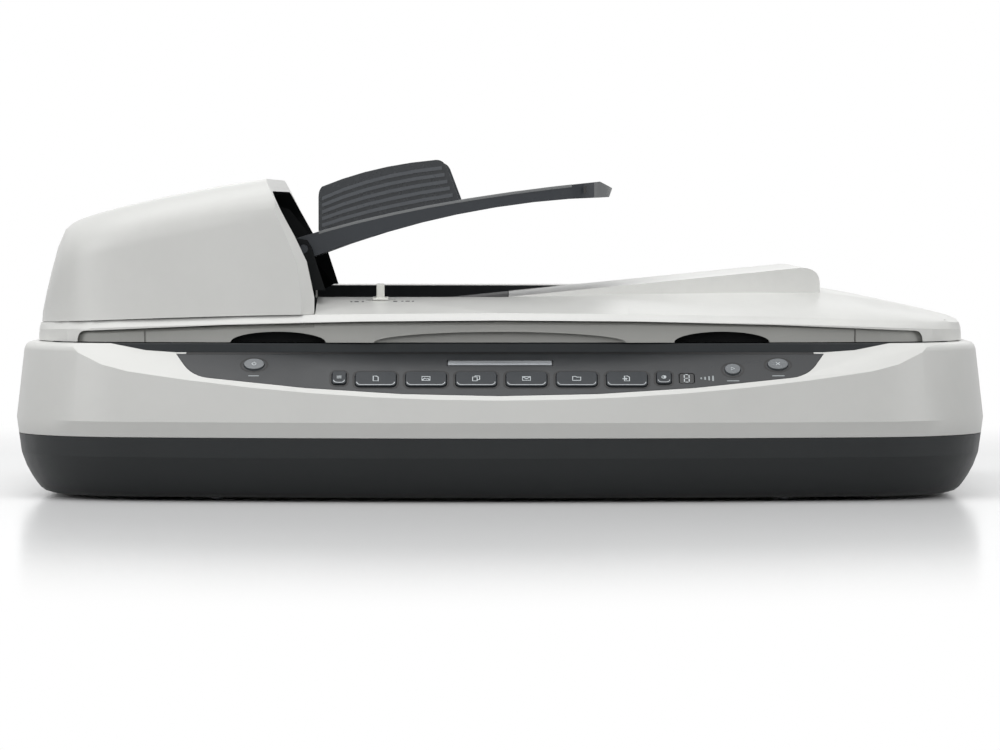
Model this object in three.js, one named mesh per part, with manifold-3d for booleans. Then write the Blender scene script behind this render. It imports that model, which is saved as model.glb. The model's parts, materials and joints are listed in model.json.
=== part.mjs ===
// Flatbed scanner with an automatic document feeder, in millimetres.
// +X points right for someone facing the control panel, +Y to the rear and +Z up.
// The origin lies on the table, under the middle of the scanner.
import * as THREE from 'three';
import { mergeVertices } from 'three/addons/utils/BufferGeometryUtils.js';
import Module from 'manifold-3d';

const wasm = await Module();
wasm.setup();

// Fits, shared by every piece
const seat = 0.3;
const running = 0.6;
const overrun = 6;
const weld = 0.0001;

// Facets on round stretches
const bowSteps = 6;
const cornerSteps = 5;
const planSteps = 7;
const edgeSteps = 3;
const roundSides = 12;
const rollerSides = 16;

// Base: plan and heights
const baseWidth = 556;
const baseDepth = 351;
const frontBow = 1300;
const frontCorner = 82;
const rearCorner = 24;
const leastCorner = 1.5;
const standHeight = 2;
const seamHeight = 36;
const deckHeight = 88.5;
const widestHeight = 45;
const caseWall = 3;
const tubTuck = 15;
const tubEdge = 4;
const tubLead = 1.2;
const upperDraft = 5;
const deckEdge = 4.5;
const front = -baseDepth / 2;
const rear = baseDepth / 2;
const caseHalf = baseWidth / 2;

// Facet of the front and the panel inlaid in it, measured up the slope from the crease
const facetTilt = 40 * Math.PI / 180;
const creaseHeightDrop = 32.2;
const creaseHeight = deckHeight - creaseHeightDrop;
const facetWall = 4;
const panelTopHalfIn = 96;
const panelTopHalf = caseHalf - panelTopHalfIn;
const panelLowHalfIn = 106;
const panelLowHalf = caseHalf - panelLowHalfIn;
const panelTop = 41;
const panelShoulder = 22.5;
const panelLow = 5.9;
const panelCorner = 9;
const panelThick = 1.6;
const panelLedge = 1.8;
const boardThick = 1.6;
const boardDrop = 9.3;
const boardIn = 18;
const boardHalf = panelTopHalf - boardIn;
const boardLow = 14;
const boardTop = 38;
const boardPegRadius = 2.2;

// Keys and buttons of the panel
const keyPitchShare = 0.15440;
const firstKeyShare = -0.38187;
const powerShare = -0.75824;
const menuShare = -0.49451;
const colourShare = 0.50385;
const displayShare = 0.57418;
const copyShare = 0.71648;
const cancelShare = 0.85659;
const keyPitch = panelTopHalf * keyPitchShare;
const keyCount = 6;
const firstKeyX = panelTopHalf * firstKeyShare;
const keyRow = 19.2;
const keyGap = 5.2;
const keyWidth = keyPitch - keyGap;
const keyHeight = 12.1;
const keyCorner = 2.8;
const buttonProud = 1;
const buttonFlange = 0.8;
const buttonTravel = 1;
const stemRadius = 1.8;
const powerAt = { x: panelTopHalf * powerShare, y: 31.7, wide: 11.2, high: 8.7 };
const cancelAt = { x: panelTopHalf * cancelShare, y: 31.7, wide: 11.2, high: 8.7 };
const copyAt = { x: panelTopHalf * copyShare, y: 27.5, wide: 8.6, high: 8.2 };
const menuAt = { x: panelTopHalf * menuShare, y: 20.4, wide: 7.8, high: 10.6 };
const colourAt = { x: panelTopHalf * colourShare, y: 20.4, wide: 8.2, high: 10 };
const displayAt = { x: panelTopHalf * displayShare, y: 20.4, wide: 8.4, high: 8.4 };
const smallCorner = 1.8;
const barHalf = 29.5;
const barRow = 33.4;
const barHeight = 4;
const barProud = 0.5;

// Deck frame and glasses
const frameThick = 5.2;
const frameHalfIn = 22;
const frameHalf = caseHalf - frameHalfIn;
const frameRearIn = 41.5;
const frameRear = rear - frameRearIn;
const frameCorner = 52;
const frameLead = 74;
const frameTurn = 40;
const leadShare = 0.66;
const turnShare = 0.28;
const deckLedge = 7;
const glassThick = 3;
const glassSink = 0.3;
const glassFrontIn = 61.5;
const glassFront = front + glassFrontIn;
const glassRearIn = 65.5;
const glassRear = rear - glassRearIn;
const platenLeftIn = 92;
const platenLeft = platenLeftIn - caseHalf;
const platenRightIn = 100;
const platenRight = caseHalf - platenRightIn;
const feederLeftIn = 52;
const feederLeft = feederLeftIn - caseHalf;
const feederRightIn = 78;
const feederRight = feederRightIn - caseHalf;
const glassLedge = 5;

// Carriage and its drive
const carriageEnd = 6;
const carriageLength = glassRear - glassFront - carriageEnd * 2;
const carriageWide = 56;
const carriageLow = 40;
const carriageTopDrop = 8;
const carriageTop = deckHeight - carriageTopDrop;
const carriageHomeIn = 65;
const carriageHome = carriageHomeIn - caseHalf;
const carriageMid = (glassFront + glassRear) / 2;
const rodY = 24;
const rodRadius = 4;
const rodHeight = 33;
const rodHalfIn = 16;
const rodHalf = caseHalf - rodHalfIn;
const rodBlock = 9;
const railIn = 26;
const railY = glassFront + railIn;
const railWide = 8;
const lampRadius = 3.2;
const lampSlot = 10;
const mirrorSlot = 12;
const beltY = 48;
const beltHeight = 31;
const beltWide = 5;
const beltThick = 1.2;
const pulleyRadius = 7;
const drivePulleyXIn = 42;
const drivePulleyX = caseHalf - drivePulleyXIn;
const idlerPulleyXIn = 30;
const idlerPulleyX = idlerPulleyXIn - caseHalf;
const scanMotorRadius = 17;
const scanMotorHigh = 16;
const pulleyShaft = 2;

// Rear sockets and the main board
const mainBoardHalf = 100;
const mainBoardDeep = 62;
const mainBoardRearIn = 9.5;
const mainBoardRear = rear - mainBoardRearIn;
const mainBoardFront = mainBoardRear - mainBoardDeep;
const mainBoardHeight = 39;
const chipHigh = 3;
const socketDeep = 16;
const inlet = { x: 60, wide: 13, high: 11, boreRadius: 3.4, pinRadius: 1 };
const dataPort = { x: -20, wide: 12.4, high: 11.2, mouth: 8.4 };

// Feet
const footRadius = 9;
const footRecess = 1.5;
const footXIn = 73;
const footX = caseHalf - footXIn;
const footFrontYIn = 57.5;
const footFrontY = front + footFrontYIn;
const footRearYIn = 47.5;
const footRearY = rear - footRearYIn;

// Hinge posts
const postXIn = 90;
const postX = caseHalf - postXIn;
const postWide = 34;
const postThick = 11;
const postLow = 46;
const hingeIn = 17.5;
const hingeY = rear - hingeIn;
const hingeRise = 11;
const hingeHeight = deckHeight + hingeRise;
const hingeRadius = 6;
const hingePin = 2.6;
const hingePinLong = 6;
const hingeSweep = 10;
const sleeveWall = 2.5;
const sleeveLow = 42;

// Lid: plan, crease of its front edge, ledge up to the output bin and fall of its right end
const lidHalfIn = 12.5;
const lidHalf = caseHalf - lidHalfIn;
const lidFrontIn = 25.5;
const lidFront = front + lidFrontIn;
const lidBow = 1300;
const lidCorner = 60;
const lidRearCorner = 20;
const lidWall = 2.5;
const lidLow = deckHeight + 0.5;
const creaseHeightMidRise = 17.1;
const creaseHeightMid = deckHeight + creaseHeightMidRise;
const creaseSag = 6.5;
const creaseEdge = 4;
const creaseIn = 3.5;
const ledgeDeep = 50;
const binFront = lidFront + ledgeDeep;
const binRearIn = 63.5;
const binRear = rear - binRearIn;
const binLong = 153.5;
const binLeft = binLong - lidHalf;
const rimHeightRise = 25.4;
const rimHeight = deckHeight + rimHeightRise;
const rimLift = 2.5;
const rimLiftX = 110;
const rimLeast = 20;
const backHeightRise = 28.9;
const backHeight = deckHeight + backHeightRise;
const roofIn = 79.5;
const roofX = lidHalf - roofIn;
const roofHeightRise = 30;
const roofHeight = deckHeight + roofHeightRise;
const roofFall = 12 * Math.PI / 180;
const lidEndHeightRise = 7.5;
const lidEndHeight = deckHeight + lidEndHeightRise;
const lidEndRound = 6;
const archIn = 26;
const archHalf = lidHalf - archIn;
const archCorner = 5;
const archEndRise = 6.8;
const archEnd = deckHeight + archEndRise;
const archMidRise = 13.1;
const archMid = deckHeight + archMidRise;
const archDeep = 38;
const binStep = 0.6;

// Output ramp and the black liner of the bin
const rampPeakIn = 94;
const rampPeakX = lidHalf - rampPeakIn;
const rampPeakRise = 42;
const rampPeak = deckHeight + rampPeakRise;
const rampLowRise = 13.7;
const rampSlope = (rampPeak - deckHeight - rampLowRise) / (rampPeakX - binLeft);
const rampEndIn = 83;
const rampEndX = lidHalf - rampEndIn;
const rampRound = 9;
const linerThick = 2;

// Grey lower pan of the lid, its finger notches and the backing pad
const panSkirt = 12.4;
const panFloorRise = 3.5;
const panFloor = deckHeight + panFloorRise;
const panThick = 2;
const panRearIn = 35.5;
const panRear = rear - panRearIn;
const panBlockDeep = 24;
const notchX = 125;
const notchHalf = 27;
const notchHigh = 6.1;
const notchRearIn = 21;
const notchRear = lidFront + notchRearIn;
const middleHalf = 71;
const middleRearIn = 9;
const middleRear = lidFront + middleRearIn;
const grooveIn = 65;
const grooveX = lidHalf - grooveIn;
const grooveWide = 1;
const padLeftIn = 75.5;
const padLeft = padLeftIn - lidHalf;
const padRightIn = 82.5;
const padRight = lidHalf - padRightIn;
const padFrontIn = 30;
const padFront = lidFront + padFrontIn;
const padRearIn = 24;
const padRear = panRear - padRearIn;
const padTopRise = 3.2;
const padTop = deckHeight + padTopRise;

// Paper stop on the ledge
const stopIn = 197.5;
const stopX = stopIn - lidHalf;
const stopBack = 8;
const stopY = binFront - stopBack;
const stopTravel = 6;
const stopBase = [9, 5.4, 1.2];
const stopPeg = [4.6, 3.6, 9];
const stopStem = 1.1;
const stopDrop = 5;

// Feeder hood
const hoodEnd = 2.5;
const hoodLeft = hoodEnd - lidHalf;
const hoodLong = 158.3;
const hoodFoot = hoodLong + hoodLeft;
const hoodInset = 2;
const hoodWall = 2.5;
const hoodLip = 7.5;
const hoodLipDeep = 15;
const hoodRound = 24;
const hoodDraft = 3;
const hoodBevel = 8;
const hoodPeakIn = 136;
const hoodPeakX = hoodPeakIn + hoodLeft;
const hoodPeakRise = 93.8;
const hoodPeak = deckHeight + hoodPeakRise;
const hoodSlope = 0.135;
const hoodTopBow = 860;
const hoodLeftLowRise = 18.5;
const hoodLeftLow = deckHeight + hoodLeftLowRise;
const hoodLeftSlope = 4.3;
const hoodBlend = 17;
const hoodFacePlaces = [
  [158.3, -8.5], [158.3, 25.8], [154, 46], [147, 60.5], [139.5, 74], [133, 87], [122, 109.5],
];
const hoodFace = hoodFacePlaces.map(onLid);
const hoodShares = [0, 0.016, 0.035, 0.058, 0.083, 0.112, 0.145, 0.2, 0.29, 0.43, 0.62, 0.8, 1];

// Feeder chassis and rollers
const cheekFrontIn = 32;
const cheekFront = lidFront + cheekFrontIn;
const cheekRearIn = 53.5;
const cheekRear = rear - cheekRearIn;
const cheekThick = 4;
const chassisIn = 31;
const chassisLeft = chassisIn + hoodLeft;
const chassisRearIn = 23.5;
const chassisRear = rear - chassisRearIn;
const chassisLow = panFloor + panThick + seat;
const chassisFloor = 2.5;
const cheekPlaces = [
  [31, 37], [44, 59.5], [63, 70], [122, 79], [134, 75], [147, 59],
  [153.5, 58], [156, 54], [164, 29.5], [150, 29.5],
];
const cheekOutline = cheekPlaces.map(onLid);
const feedAtPlace = [58, 25.5];
const feedAt = onLid(feedAtPlace);
const feedRadius = 19.5;
const feedShaftRadius = 4;
const pickAtPlace = [113, 63];
const pickAt = onLid(pickAtPlace);
const pickRadius = 9;
const pickHalf = 24;
const exitAtPlace = [141, 26];
const exitAt = onLid(exitAtPlace);
const exitRadius = 7.5;
const thinShaft = 3;
const rollerGap = 8;
const beltPulley = 7.6;
const exitBeltWide = 4.6;
const exitBeltThick = 1.1;
const gearModule = 2;
const feedTeeth = 16;
const pinionTeeth = 8;
const idlerTeeth = 14;
const pickTeeth = 10;
const gearWide = 7;
const gearPlay = 0.35;
const gearPin = 2.4;
const motorRadius = 13;
const motorDeep = 20;
const deckFromPlace = [77, 44.5];
const deckFrom = onLid(deckFromPlace);
const deckToPlace = [142.5, 57.9];
const deckTo = onLid(deckToPlace);
const deckThick = 3;
const throatWallPlaces = [[147, 42], [151.5, 42], [162, 29.7], [157.5, 29.7]];
const throatWall = throatWallPlaces.map(onLid);

// Input tray: upper and lower curve, pivot and tip
const trayTopPlaces = [[146, 58.5], [212.5, 80.5], [320, 91.2]];
const trayTop = trayTopPlaces.map(onLid);
const trayLowPlaces = [[151, 46.3], [239, 80.5], [325.3, 82.4]];
const trayLow = trayLowPlaces.map(onLid);
const trayTipPlace = [327.3, 87.5];
const trayTip = onLid(trayTipPlace);
const trayIn = 6;
const trayFront = cheekFront + trayIn;
const trayRear = cheekRear - trayIn;
const trayCorner = 26;
const trayPivotPlace = [151.6, 52.8];
const trayPivot = onLid(trayPivotPlace);
const pivotRadius = 2.5;
const traySteps = 8;

// Width guides with their racks, and the pinion between them
const guideLeftIn = 159.8;
const guideLeft = guideLeftIn + hoodLeft;
const guideRightIn = 239.6;
const guideRight = guideRightIn + hoodLeft;
const guideTopLeftRise = 86.3;
const guideTopLeft = deckHeight + guideTopLeftRise;
const guideTopMidPlace = [191, 100.5];
const guideTopMid = onLid(guideTopMidPlace);
const guideTopRightPlace = [230.5, 103.8];
const guideTopRight = onLid(guideTopRightPlace);
const guideThick = 3;
const guideOut = 2;
const guideLegDeep = 6;
const guideTravel = 60;
const guideCorner = 4;
const ribCount = 5;
const ribProud = 0.8;
const ribHigh = 2;
const footWide = 28;
const footDeep = 20;
const footThick = 2;
const rackShare = 0.34;
const rackModule = 1.6;
const rackTeeth = 15;
const rackPinionTeeth = 10;
const rackHigh = 3.4;
const rackBack = 3;
const rackPlay = 0.25;
const traySkin = 3;
const channelSpare = 4;

const black = { colour: 0x16181a, roughness: 0.55, metalness: 0 };
const lightGrey = { colour: 0xc9cac7, roughness: 0.5, metalness: 0 };
const midGrey = { colour: 0x6a6a6a, roughness: 0.55, metalness: 0 };
const charcoal = { colour: 0x2a2c2e, roughness: 0.5, metalness: 0 };
const slate = { colour: 0x3a3e43, roughness: 0.45, metalness: 0 };
const keyGrey = { colour: 0x474c51, roughness: 0.4, metalness: 0 };
const white = { colour: 0xf0f0ec, roughness: 0.7, metalness: 0 };
const steel = { colour: 0xb8bbbd, roughness: 0.3, metalness: 1 };
const bright = { colour: 0xd8dadb, roughness: 0.12, metalness: 1 };
const rubber = { colour: 0x2b2b2b, roughness: 0.85, metalness: 0 };
const board = { colour: 0x1f5a35, roughness: 0.5, metalness: 0 };
const clear = { colour: 0xdfeeea, roughness: 0.05, metalness: 0 };

const toRight = new THREE.Vector3(1, 0, 0);
const toRear = new THREE.Vector3(0, 1, 0);
const toFront = new THREE.Vector3(0, -1, 0);
const upward = new THREE.Vector3(0, 0, 1);
const along = {
  x: new THREE.Matrix4().makeBasis(toRear, upward, toRight),
  y: new THREE.Matrix4().makeBasis(toRight, upward, toFront),
  z: new THREE.Matrix4(),
  panel: new THREE.Matrix4().makeRotationX(facetTilt).setPosition(0, front, creaseHeight),
};

// A place given as the distance from the hood's left end and the height above the deck
function onLid([x, z]) {
  return [x + hoodLeft, z + deckHeight];
}

// A closed three.js geometry as a solid that can be joined and cut
function solid(geometry) {
  const plain = geometry.clone();
  plain.deleteAttribute('normal');
  plain.deleteAttribute('uv');
  const merged = mergeVertices(plain, weld);
  return new wasm.Manifold(new wasm.Mesh({
    numProp: 3,
    vertProperties: Float32Array.from(merged.attributes.position.array),
    triVerts: Uint32Array.from(merged.index.array),
  }));
}

function join(...solids) {
  return solids.reduce((whole, next) => whole.add(next));
}

function cut(body, ...cutters) {
  return cutters.reduce((rest, next) => rest.subtract(next), body);
}

function geometryOf(body) {
  const mesh = body.getMesh();
  const geometry = new THREE.BufferGeometry();
  geometry.setAttribute('position', new THREE.BufferAttribute(mesh.vertProperties, 3));
  geometry.setIndex(new THREE.BufferAttribute(mesh.triVerts, 1));
  geometry.computeVertexNormals();
  return geometry;
}

const scanner = new THREE.Group();

// Adds one named piece to a group
function piece(name, body, look, group = scanner) {
  const material = new THREE.MeshStandardMaterial({
    color: look.colour, roughness: look.roughness, metalness: look.metalness, flatShading: true,
  });
  const mesh = new THREE.Mesh(geometryOf(body), material);
  mesh.name = name;
  group.add(mesh);
  return mesh;
}

function block(x0, x1, y0, y1, z0, z1) {
  const geometry = new THREE.BoxGeometry(x1 - x0, y1 - y0, z1 - z0);
  return solid(geometry.translate((x0 + x1) / 2, (y0 + y1) / 2, (z0 + z1) / 2));
}

// A shape drawn across an axis and pushed along it from one place to another. Across x it is
// drawn in (y, z), across y in (x, z), across z in (x, y) and across the panel in its own plane.
function prism(shape, axis, from, to, { edge = 0, steps = cornerSteps } = {}) {
  const geometry = new THREE.ExtrudeGeometry(shape, {
    depth: to - from - edge * 2,
    bevelEnabled: edge > 0,
    bevelThickness: edge,
    bevelSize: edge,
    bevelOffset: -edge,
    bevelSegments: 1,
    curveSegments: steps,
  });
  geometry.translate(0, 0, (axis === 'y' ? -to : from) + edge);
  return solid(geometry.applyMatrix4(along[axis]));
}

function rod(radius, axis, from, to, a, b, sides = roundSides) {
  const shape = new THREE.Shape();
  const points = [];
  for (let i = 0; i < sides; i += 1) {
    const angle = (i + 0.5) * 2 * Math.PI / sides;
    points.push(new THREE.Vector2(a + radius * Math.cos(angle), b + radius * Math.sin(angle)));
  }
  shape.setFromPoints(points);
  return prism(shape, axis, from, to);
}

function polygon(pairs) {
  return new THREE.Shape(pairs.map(([x, y]) => new THREE.Vector2(x, y)));
}

function roundedRectangle(x, y, wide, high, corner) {
  const shape = new THREE.Shape();
  const [x0, x1, y0, y1] = [x - wide / 2, x + wide / 2, y - high / 2, y + high / 2];
  shape.moveTo(x0 + corner, y0);
  shape.lineTo(x1 - corner, y0);
  shape.absarc(x1 - corner, y0 + corner, corner, -Math.PI / 2, 0);
  shape.lineTo(x1, y1 - corner);
  shape.absarc(x1 - corner, y1 - corner, corner, 0, Math.PI / 2);
  shape.lineTo(x0 + corner, y1);
  shape.absarc(x0 + corner, y1 - corner, corner, Math.PI / 2, Math.PI);
  shape.lineTo(x0, y0 + corner);
  shape.absarc(x0 + corner, y0 + corner, corner, Math.PI, 1.5 * Math.PI);
  return shape;
}

function oval(x, y, wide, high) {
  return new THREE.Shape().absellipse(x, y, wide / 2, high / 2, 0, 2 * Math.PI);
}

// A stack of outlines with equally many points, each anticlockwise seen from its far end
function loft(rings) {
  const count = rings[0].length;
  const positions = rings.flat().flatMap((point) => [point.x, point.y, point.z]);
  const index = [];
  for (let ring = 0; ring < rings.length - 1; ring += 1) {
    for (let i = 0; i < count; i += 1) {
      const a = ring * count + i;
      const b = ring * count + (i + 1) % count;
      index.push(a, b, b + count, a, b + count, a + count);
    }
  }
  const lastStart = (rings.length - 1) * count;
  for (const [a, b, c] of THREE.ShapeUtils.triangulateShape(rings[0], [])) index.push(c, b, a);
  for (const [a, b, c] of THREE.ShapeUtils.triangulateShape(rings.at(-1), [])) {
    index.push(a + lastStart, b + lastStart, c + lastStart);
  }
  const geometry = new THREE.BufferGeometry();
  geometry.setAttribute('position', new THREE.Float32BufferAttribute(positions, 3));
  geometry.setIndex(index);
  return geometry;
}

// Plan outline with a bowed front: the bow, the front corners and the rear corners meet in tangents
function planOf({ half, front: y0, rear: y1, bow, corner, rearCorner: back }) {
  const bowCentre = y0 + bow;
  const cornerX = half - corner;
  const cornerY = bowCentre - Math.sqrt((bow - corner) ** 2 - cornerX ** 2);
  const bowEnd = Math.atan2(cornerX, bowCentre - cornerY);
  return { half, y0, y1, bow, corner, back, bowCentre, cornerX, cornerY, bowEnd };
}

function inset(plan, amount, rearAmount = amount) {
  return planOf({
    half: plan.half - amount,
    front: plan.y0 + amount,
    rear: plan.y1 - rearAmount,
    bow: plan.bow - amount,
    corner: Math.max(plan.corner - amount, leastCorner),
    rearCorner: Math.max(plan.back - rearAmount, leastCorner),
  });
}

function planRing(plan, z) {
  const right = [];
  for (let i = 1; i <= bowSteps; i += 1) {
    const angle = plan.bowEnd * i / bowSteps;
    right.push([plan.bow * Math.sin(angle), plan.bowCentre - plan.bow * Math.cos(angle)]);
  }
  for (let i = 1; i <= planSteps; i += 1) {
    const angle = plan.bowEnd + (Math.PI / 2 - plan.bowEnd) * i / planSteps;
    right.push([plan.cornerX + plan.corner * Math.sin(angle), plan.cornerY - plan.corner * Math.cos(angle)]);
  }
  for (let i = 0; i <= edgeSteps; i += 1) {
    const angle = Math.PI / 2 * i / edgeSteps;
    const x = plan.half - plan.back + plan.back * Math.cos(angle);
    right.push([x, plan.y1 - plan.back + plan.back * Math.sin(angle)]);
  }
  const left = right.map(([x, y]) => [-x, y]).reverse();
  return [[0, plan.y0], ...right, ...left].map(([x, y]) => new THREE.Vector3(x, y, z));
}

// How far forward the outline lies at a place along the width
function frontAt(plan, x) {
  const across = Math.min(Math.abs(x), plan.half);
  if (across <= plan.bow * Math.sin(plan.bowEnd)) {
    return plan.bowCentre - Math.sqrt(plan.bow ** 2 - across ** 2);
  }
  return plan.cornerY - Math.sqrt(Math.max(plan.corner ** 2 - (across - plan.cornerX) ** 2, 0));
}

function rearAt(plan, x) {
  const across = Math.min(Math.abs(x), plan.half) - (plan.half - plan.back);
  return across <= 0 ? plan.y1 : plan.y1 - plan.back + Math.sqrt(Math.max(plan.back ** 2 - across ** 2, 0));
}

const basePlan = planOf({
  half: baseWidth / 2, front, rear, bow: frontBow, corner: frontCorner, rearCorner,
});

// Quarter round at an edge: how far the side has drawn in at a share of the edge's height
function roundIn(radius, share) {
  return radius * (1 - Math.sqrt(1 - Math.min(Math.max(share, 0), 1) ** 2));
}

function tubInset(z) {
  const down = (seamHeight - z) / (seamHeight - standHeight);
  return tubLead + tubTuck * down ** 2 + roundIn(tubEdge, 1 - (z - standHeight) / tubEdge);
}

function upperInset(z) {
  const up = (z - widestHeight) / (deckHeight - widestHeight);
  const lip = tubLead * Math.max(1 - (z - seamHeight) / (widestHeight - seamHeight), 0);
  return lip + upperDraft * Math.max(up, 0) + roundIn(deckEdge, 1 - (deckHeight - z) / deckEdge);
}

// Plan rings between two heights, set in by a rule of height
function caseRings(shares, low, high, insetAt) {
  return shares.map((share) => {
    const z = low + (high - low) * share;
    return planRing(inset(basePlan, insetAt(z)), z);
  });
}

const tubShares = [0, 0.03, 0.09, 0.18, 0.3, 0.46, 0.68, 1];
const tubFloor = standHeight + caseWall;
const carriageHalf = carriageWide / 2;
const pulleyPlaces = { drive: [drivePulleyX, beltY], idler: [idlerPulleyX, beltY] };

function lowerTub() {
  const outer = solid(loft(caseRings(tubShares, standHeight, seamHeight, tubInset)));
  const inner = caseRings([0, 0.15, 0.5, 1], tubFloor, seamHeight, (z) => tubInset(z) + caseWall);
  inner.push(planRing(inset(basePlan, tubLead + caseWall), seamHeight + overrun));
  const parts = [];
  for (const side of [-1, 1]) {
    const blockX = side * (rodHalf - rodBlock / 2);
    const rodSeat = block(blockX - rodBlock / 2, blockX + rodBlock / 2,
      rodY - rodBlock, rodY + rodBlock, standHeight, rodHeight + rodRadius / 2);
    parts.push(rodSeat);
    for (const y of [mainBoardFront + rodBlock, mainBoardRear - rodBlock]) {
      parts.push(rod(rodRadius, 'z', standHeight, mainBoardHeight - seat, side * (mainBoardHalf - rodBlock), y));
    }
  }
  for (const x of [-footX, 0, footX]) {
    parts.push(block(x - rodBlock, x + rodBlock, railY - railWide / 2, railY + railWide / 2,
      standHeight, carriageLow - railWide - seat * 2));
  }
  const [idlerX, idlerY] = pulleyPlaces.idler;
  parts.push(rod(rodRadius, 'z', standHeight, beltHeight - beltWide, idlerX, idlerY));
  parts.push(rod(pulleyShaft, 'z', standHeight, beltHeight + beltWide / 2, idlerX, idlerY));
  const boardPosts = join(...parts);
  const shell = cut(outer, solid(loft(inner)));
  const rodGroove = join(
    rod(rodRadius + seat, 'x', -rodHalf - seat, rodHalf + seat, rodY, rodHeight),
    block(-rodHalf, rodHalf, rodY - rodRadius - seat, rodY + rodRadius + seat, rodHeight, seamHeight + overrun),
  );
  const footHoles = footPlaces().map(([, x, y]) => (
    rod(footRadius + seat, 'z', standHeight - overrun, standHeight + footRecess, x, y)));
  return cut(join(shell, boardPosts.intersect(join(outer, tallCore()))), rodGroove, ...footHoles);
}

// The room above the seam that posts of the tub may rise into
function tallCore() {
  return block(-mainBoardHalf, mainBoardHalf, mainBoardFront, mainBoardRear, tubFloor, mainBoardHeight);
}

function footPlaces() {
  return [
    ['foot_front_left', -footX, footFrontY], ['foot_front_right', footX, footFrontY],
    ['foot_rear_left', -footX, footRearY], ['foot_rear_right', footX, footRearY],
  ];
}

// Everything above the facet plane, sunk by a depth measured square to it
function aboveFacet(sink) {
  const reach = baseDepth / 2;
  const rise = reach * Math.tan(facetTilt);
  const z = creaseHeight - sink / Math.cos(facetTilt);
  return prism(polygon([[front - reach, z - rise], [front + reach, z + rise], [front - reach, z + rise]]),
    'x', -baseWidth, baseWidth);
}

// Outline of the inlay in the plane of the facet, made larger all round by an amount
function panelShape(grow) {
  const shoulder = panelShoulder - grow / 2;
  const low = panelLow - grow;
  const half = panelLowHalf + grow;
  const slopeShare = 0.17;
  const cornerY = shoulder - panelCorner * slopeShare;
  const sideX = (panelTopHalf - panelLowHalf) * panelCorner / (panelTop - panelShoulder);
  const shape = new THREE.Shape();
  shape.moveTo(panelTopHalf + grow, panelTop + grow);
  shape.lineTo(-panelTopHalf - grow, panelTop + grow);
  shape.lineTo(-half - sideX, shoulder + panelCorner);
  shape.quadraticCurveTo(-half, shoulder, -half + panelCorner, cornerY);
  shape.quadraticCurveTo(0, 2 * low - cornerY, half - panelCorner, cornerY);
  shape.quadraticCurveTo(half, shoulder, half + sideX, shoulder + panelCorner);
  return shape;
}

const frameLow = deckHeight - frameThick;
const frameFront = front + (frameLow - creaseHeight) / Math.tan(facetTilt) + seat * 2;

// Outline of the deck frame; its front corners turn away slowly, so its front edge tapers off
function frameShape(grow) {
  const half = frameHalf + grow;
  const y0 = frameFront - grow;
  const y1 = frameRear + grow;
  const corner = Math.max(frameCorner + grow, leastCorner);
  const lead = frameLead + grow;
  const turn = frameTurn + grow;
  const shape = new THREE.Shape();
  shape.moveTo(lead - half, y0);
  shape.lineTo(half - lead, y0);
  shape.bezierCurveTo(half - lead * leadShare, y0, half, y0 + turn * turnShare, half, y0 + turn);
  shape.lineTo(half, y1 - corner);
  shape.absarc(half - corner, y1 - corner, corner, 0, Math.PI / 2);
  shape.lineTo(corner - half, y1);
  shape.absarc(corner - half, y1 - corner, corner, Math.PI / 2, Math.PI);
  shape.lineTo(-half, y0 + turn);
  shape.bezierCurveTo(-half, y0 + turn * turnShare, lead * leadShare - half, y0, lead - half, y0);
  return shape;
}

function upperRings(low) {
  const shoulder = deckHeight - deckEdge;
  const heights = [low, widestHeight, shoulder, ...[0.5, 0.84, 1].map((share) => shoulder + deckEdge * share)];
  return heights.map((z) => planRing(inset(basePlan, upperInset(z)), z));
}

const socketBase = mainBoardHeight + boardThick + seat;

function upperCase() {
  const low = seamHeight + seat;
  const outer = cut(solid(loft(upperRings(low))), aboveFacet(0));
  const innerTop = deckHeight - caseWall;
  const inner = caseRings([0, 0.5, 1], low - overrun, innerTop, (z) => upperInset(Math.max(z, low)) + caseWall);
  const cavity = cut(solid(loft(inner)), aboveFacet(facetWall));
  const ledge = prism(frameShape(seat + caseWall), 'z', frameLow - seat - caseWall, frameLow);
  const sleeves = [];
  const bores = [];
  for (const x of [-postX, postX]) {
    const halfX = postWide / 2 + seat;
    const halfY = postThick / 2 + seat;
    bores.push(block(x - halfX, x + halfX, hingeY - halfY, hingeY + halfY, low - overrun, deckHeight + overrun));
    sleeves.push(block(x - halfX - sleeveWall, x + halfX + sleeveWall,
      hingeY - halfY - sleeveWall, hingeY + halfY + sleeveWall, sleeveLow, innerTop + seat));
  }
  const walls = join(cut(outer, cavity), join(ledge, ...sleeves).intersect(outer));
  const socketHoles = [inlet, dataPort].map(({ x, wide, high }) => (
    block(x - wide / 2 - seat, x + wide / 2 + seat, rear - socketDeep, rear + overrun,
      socketBase - seat, socketBase + high + seat)));
  return cut(walls, ...bores, ...socketHoles,
    prism(frameShape(seat), 'z', frameLow - seat, deckHeight + overrun),
    prism(frameShape(-deckLedge), 'z', frameLow - overrun, deckHeight),
    prism(panelShape(seat), 'panel', -panelThick - seat, overrun, { steps: bowSteps }),
    prism(panelShape(-panelLedge), 'panel', -facetWall * 2, overrun, { steps: bowSteps }));
}

function platenFrame() {
  const windows = [[feederLeft, feederRight], [platenLeft, platenRight]].map(([x0, x1]) => {
    const glassLow = deckHeight - glassSink - glassThick - seat;
    const pocket = block(x0 - seat, x1 + seat, glassFront - seat, glassRear + seat, glassLow, deckHeight + overrun);
    const light = block(x0 + glassLedge, x1 - glassLedge, glassFront + glassLedge, glassRear - glassLedge,
      frameLow - overrun, deckHeight);
    return join(pocket, light);
  });
  return cut(prism(frameShape(0), 'z', frameLow, deckHeight), ...windows);
}

function glass(x0, x1) {
  const top = deckHeight - glassSink;
  return block(x0, x1, glassFront, glassRear, top - glassThick, top);
}

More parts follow.
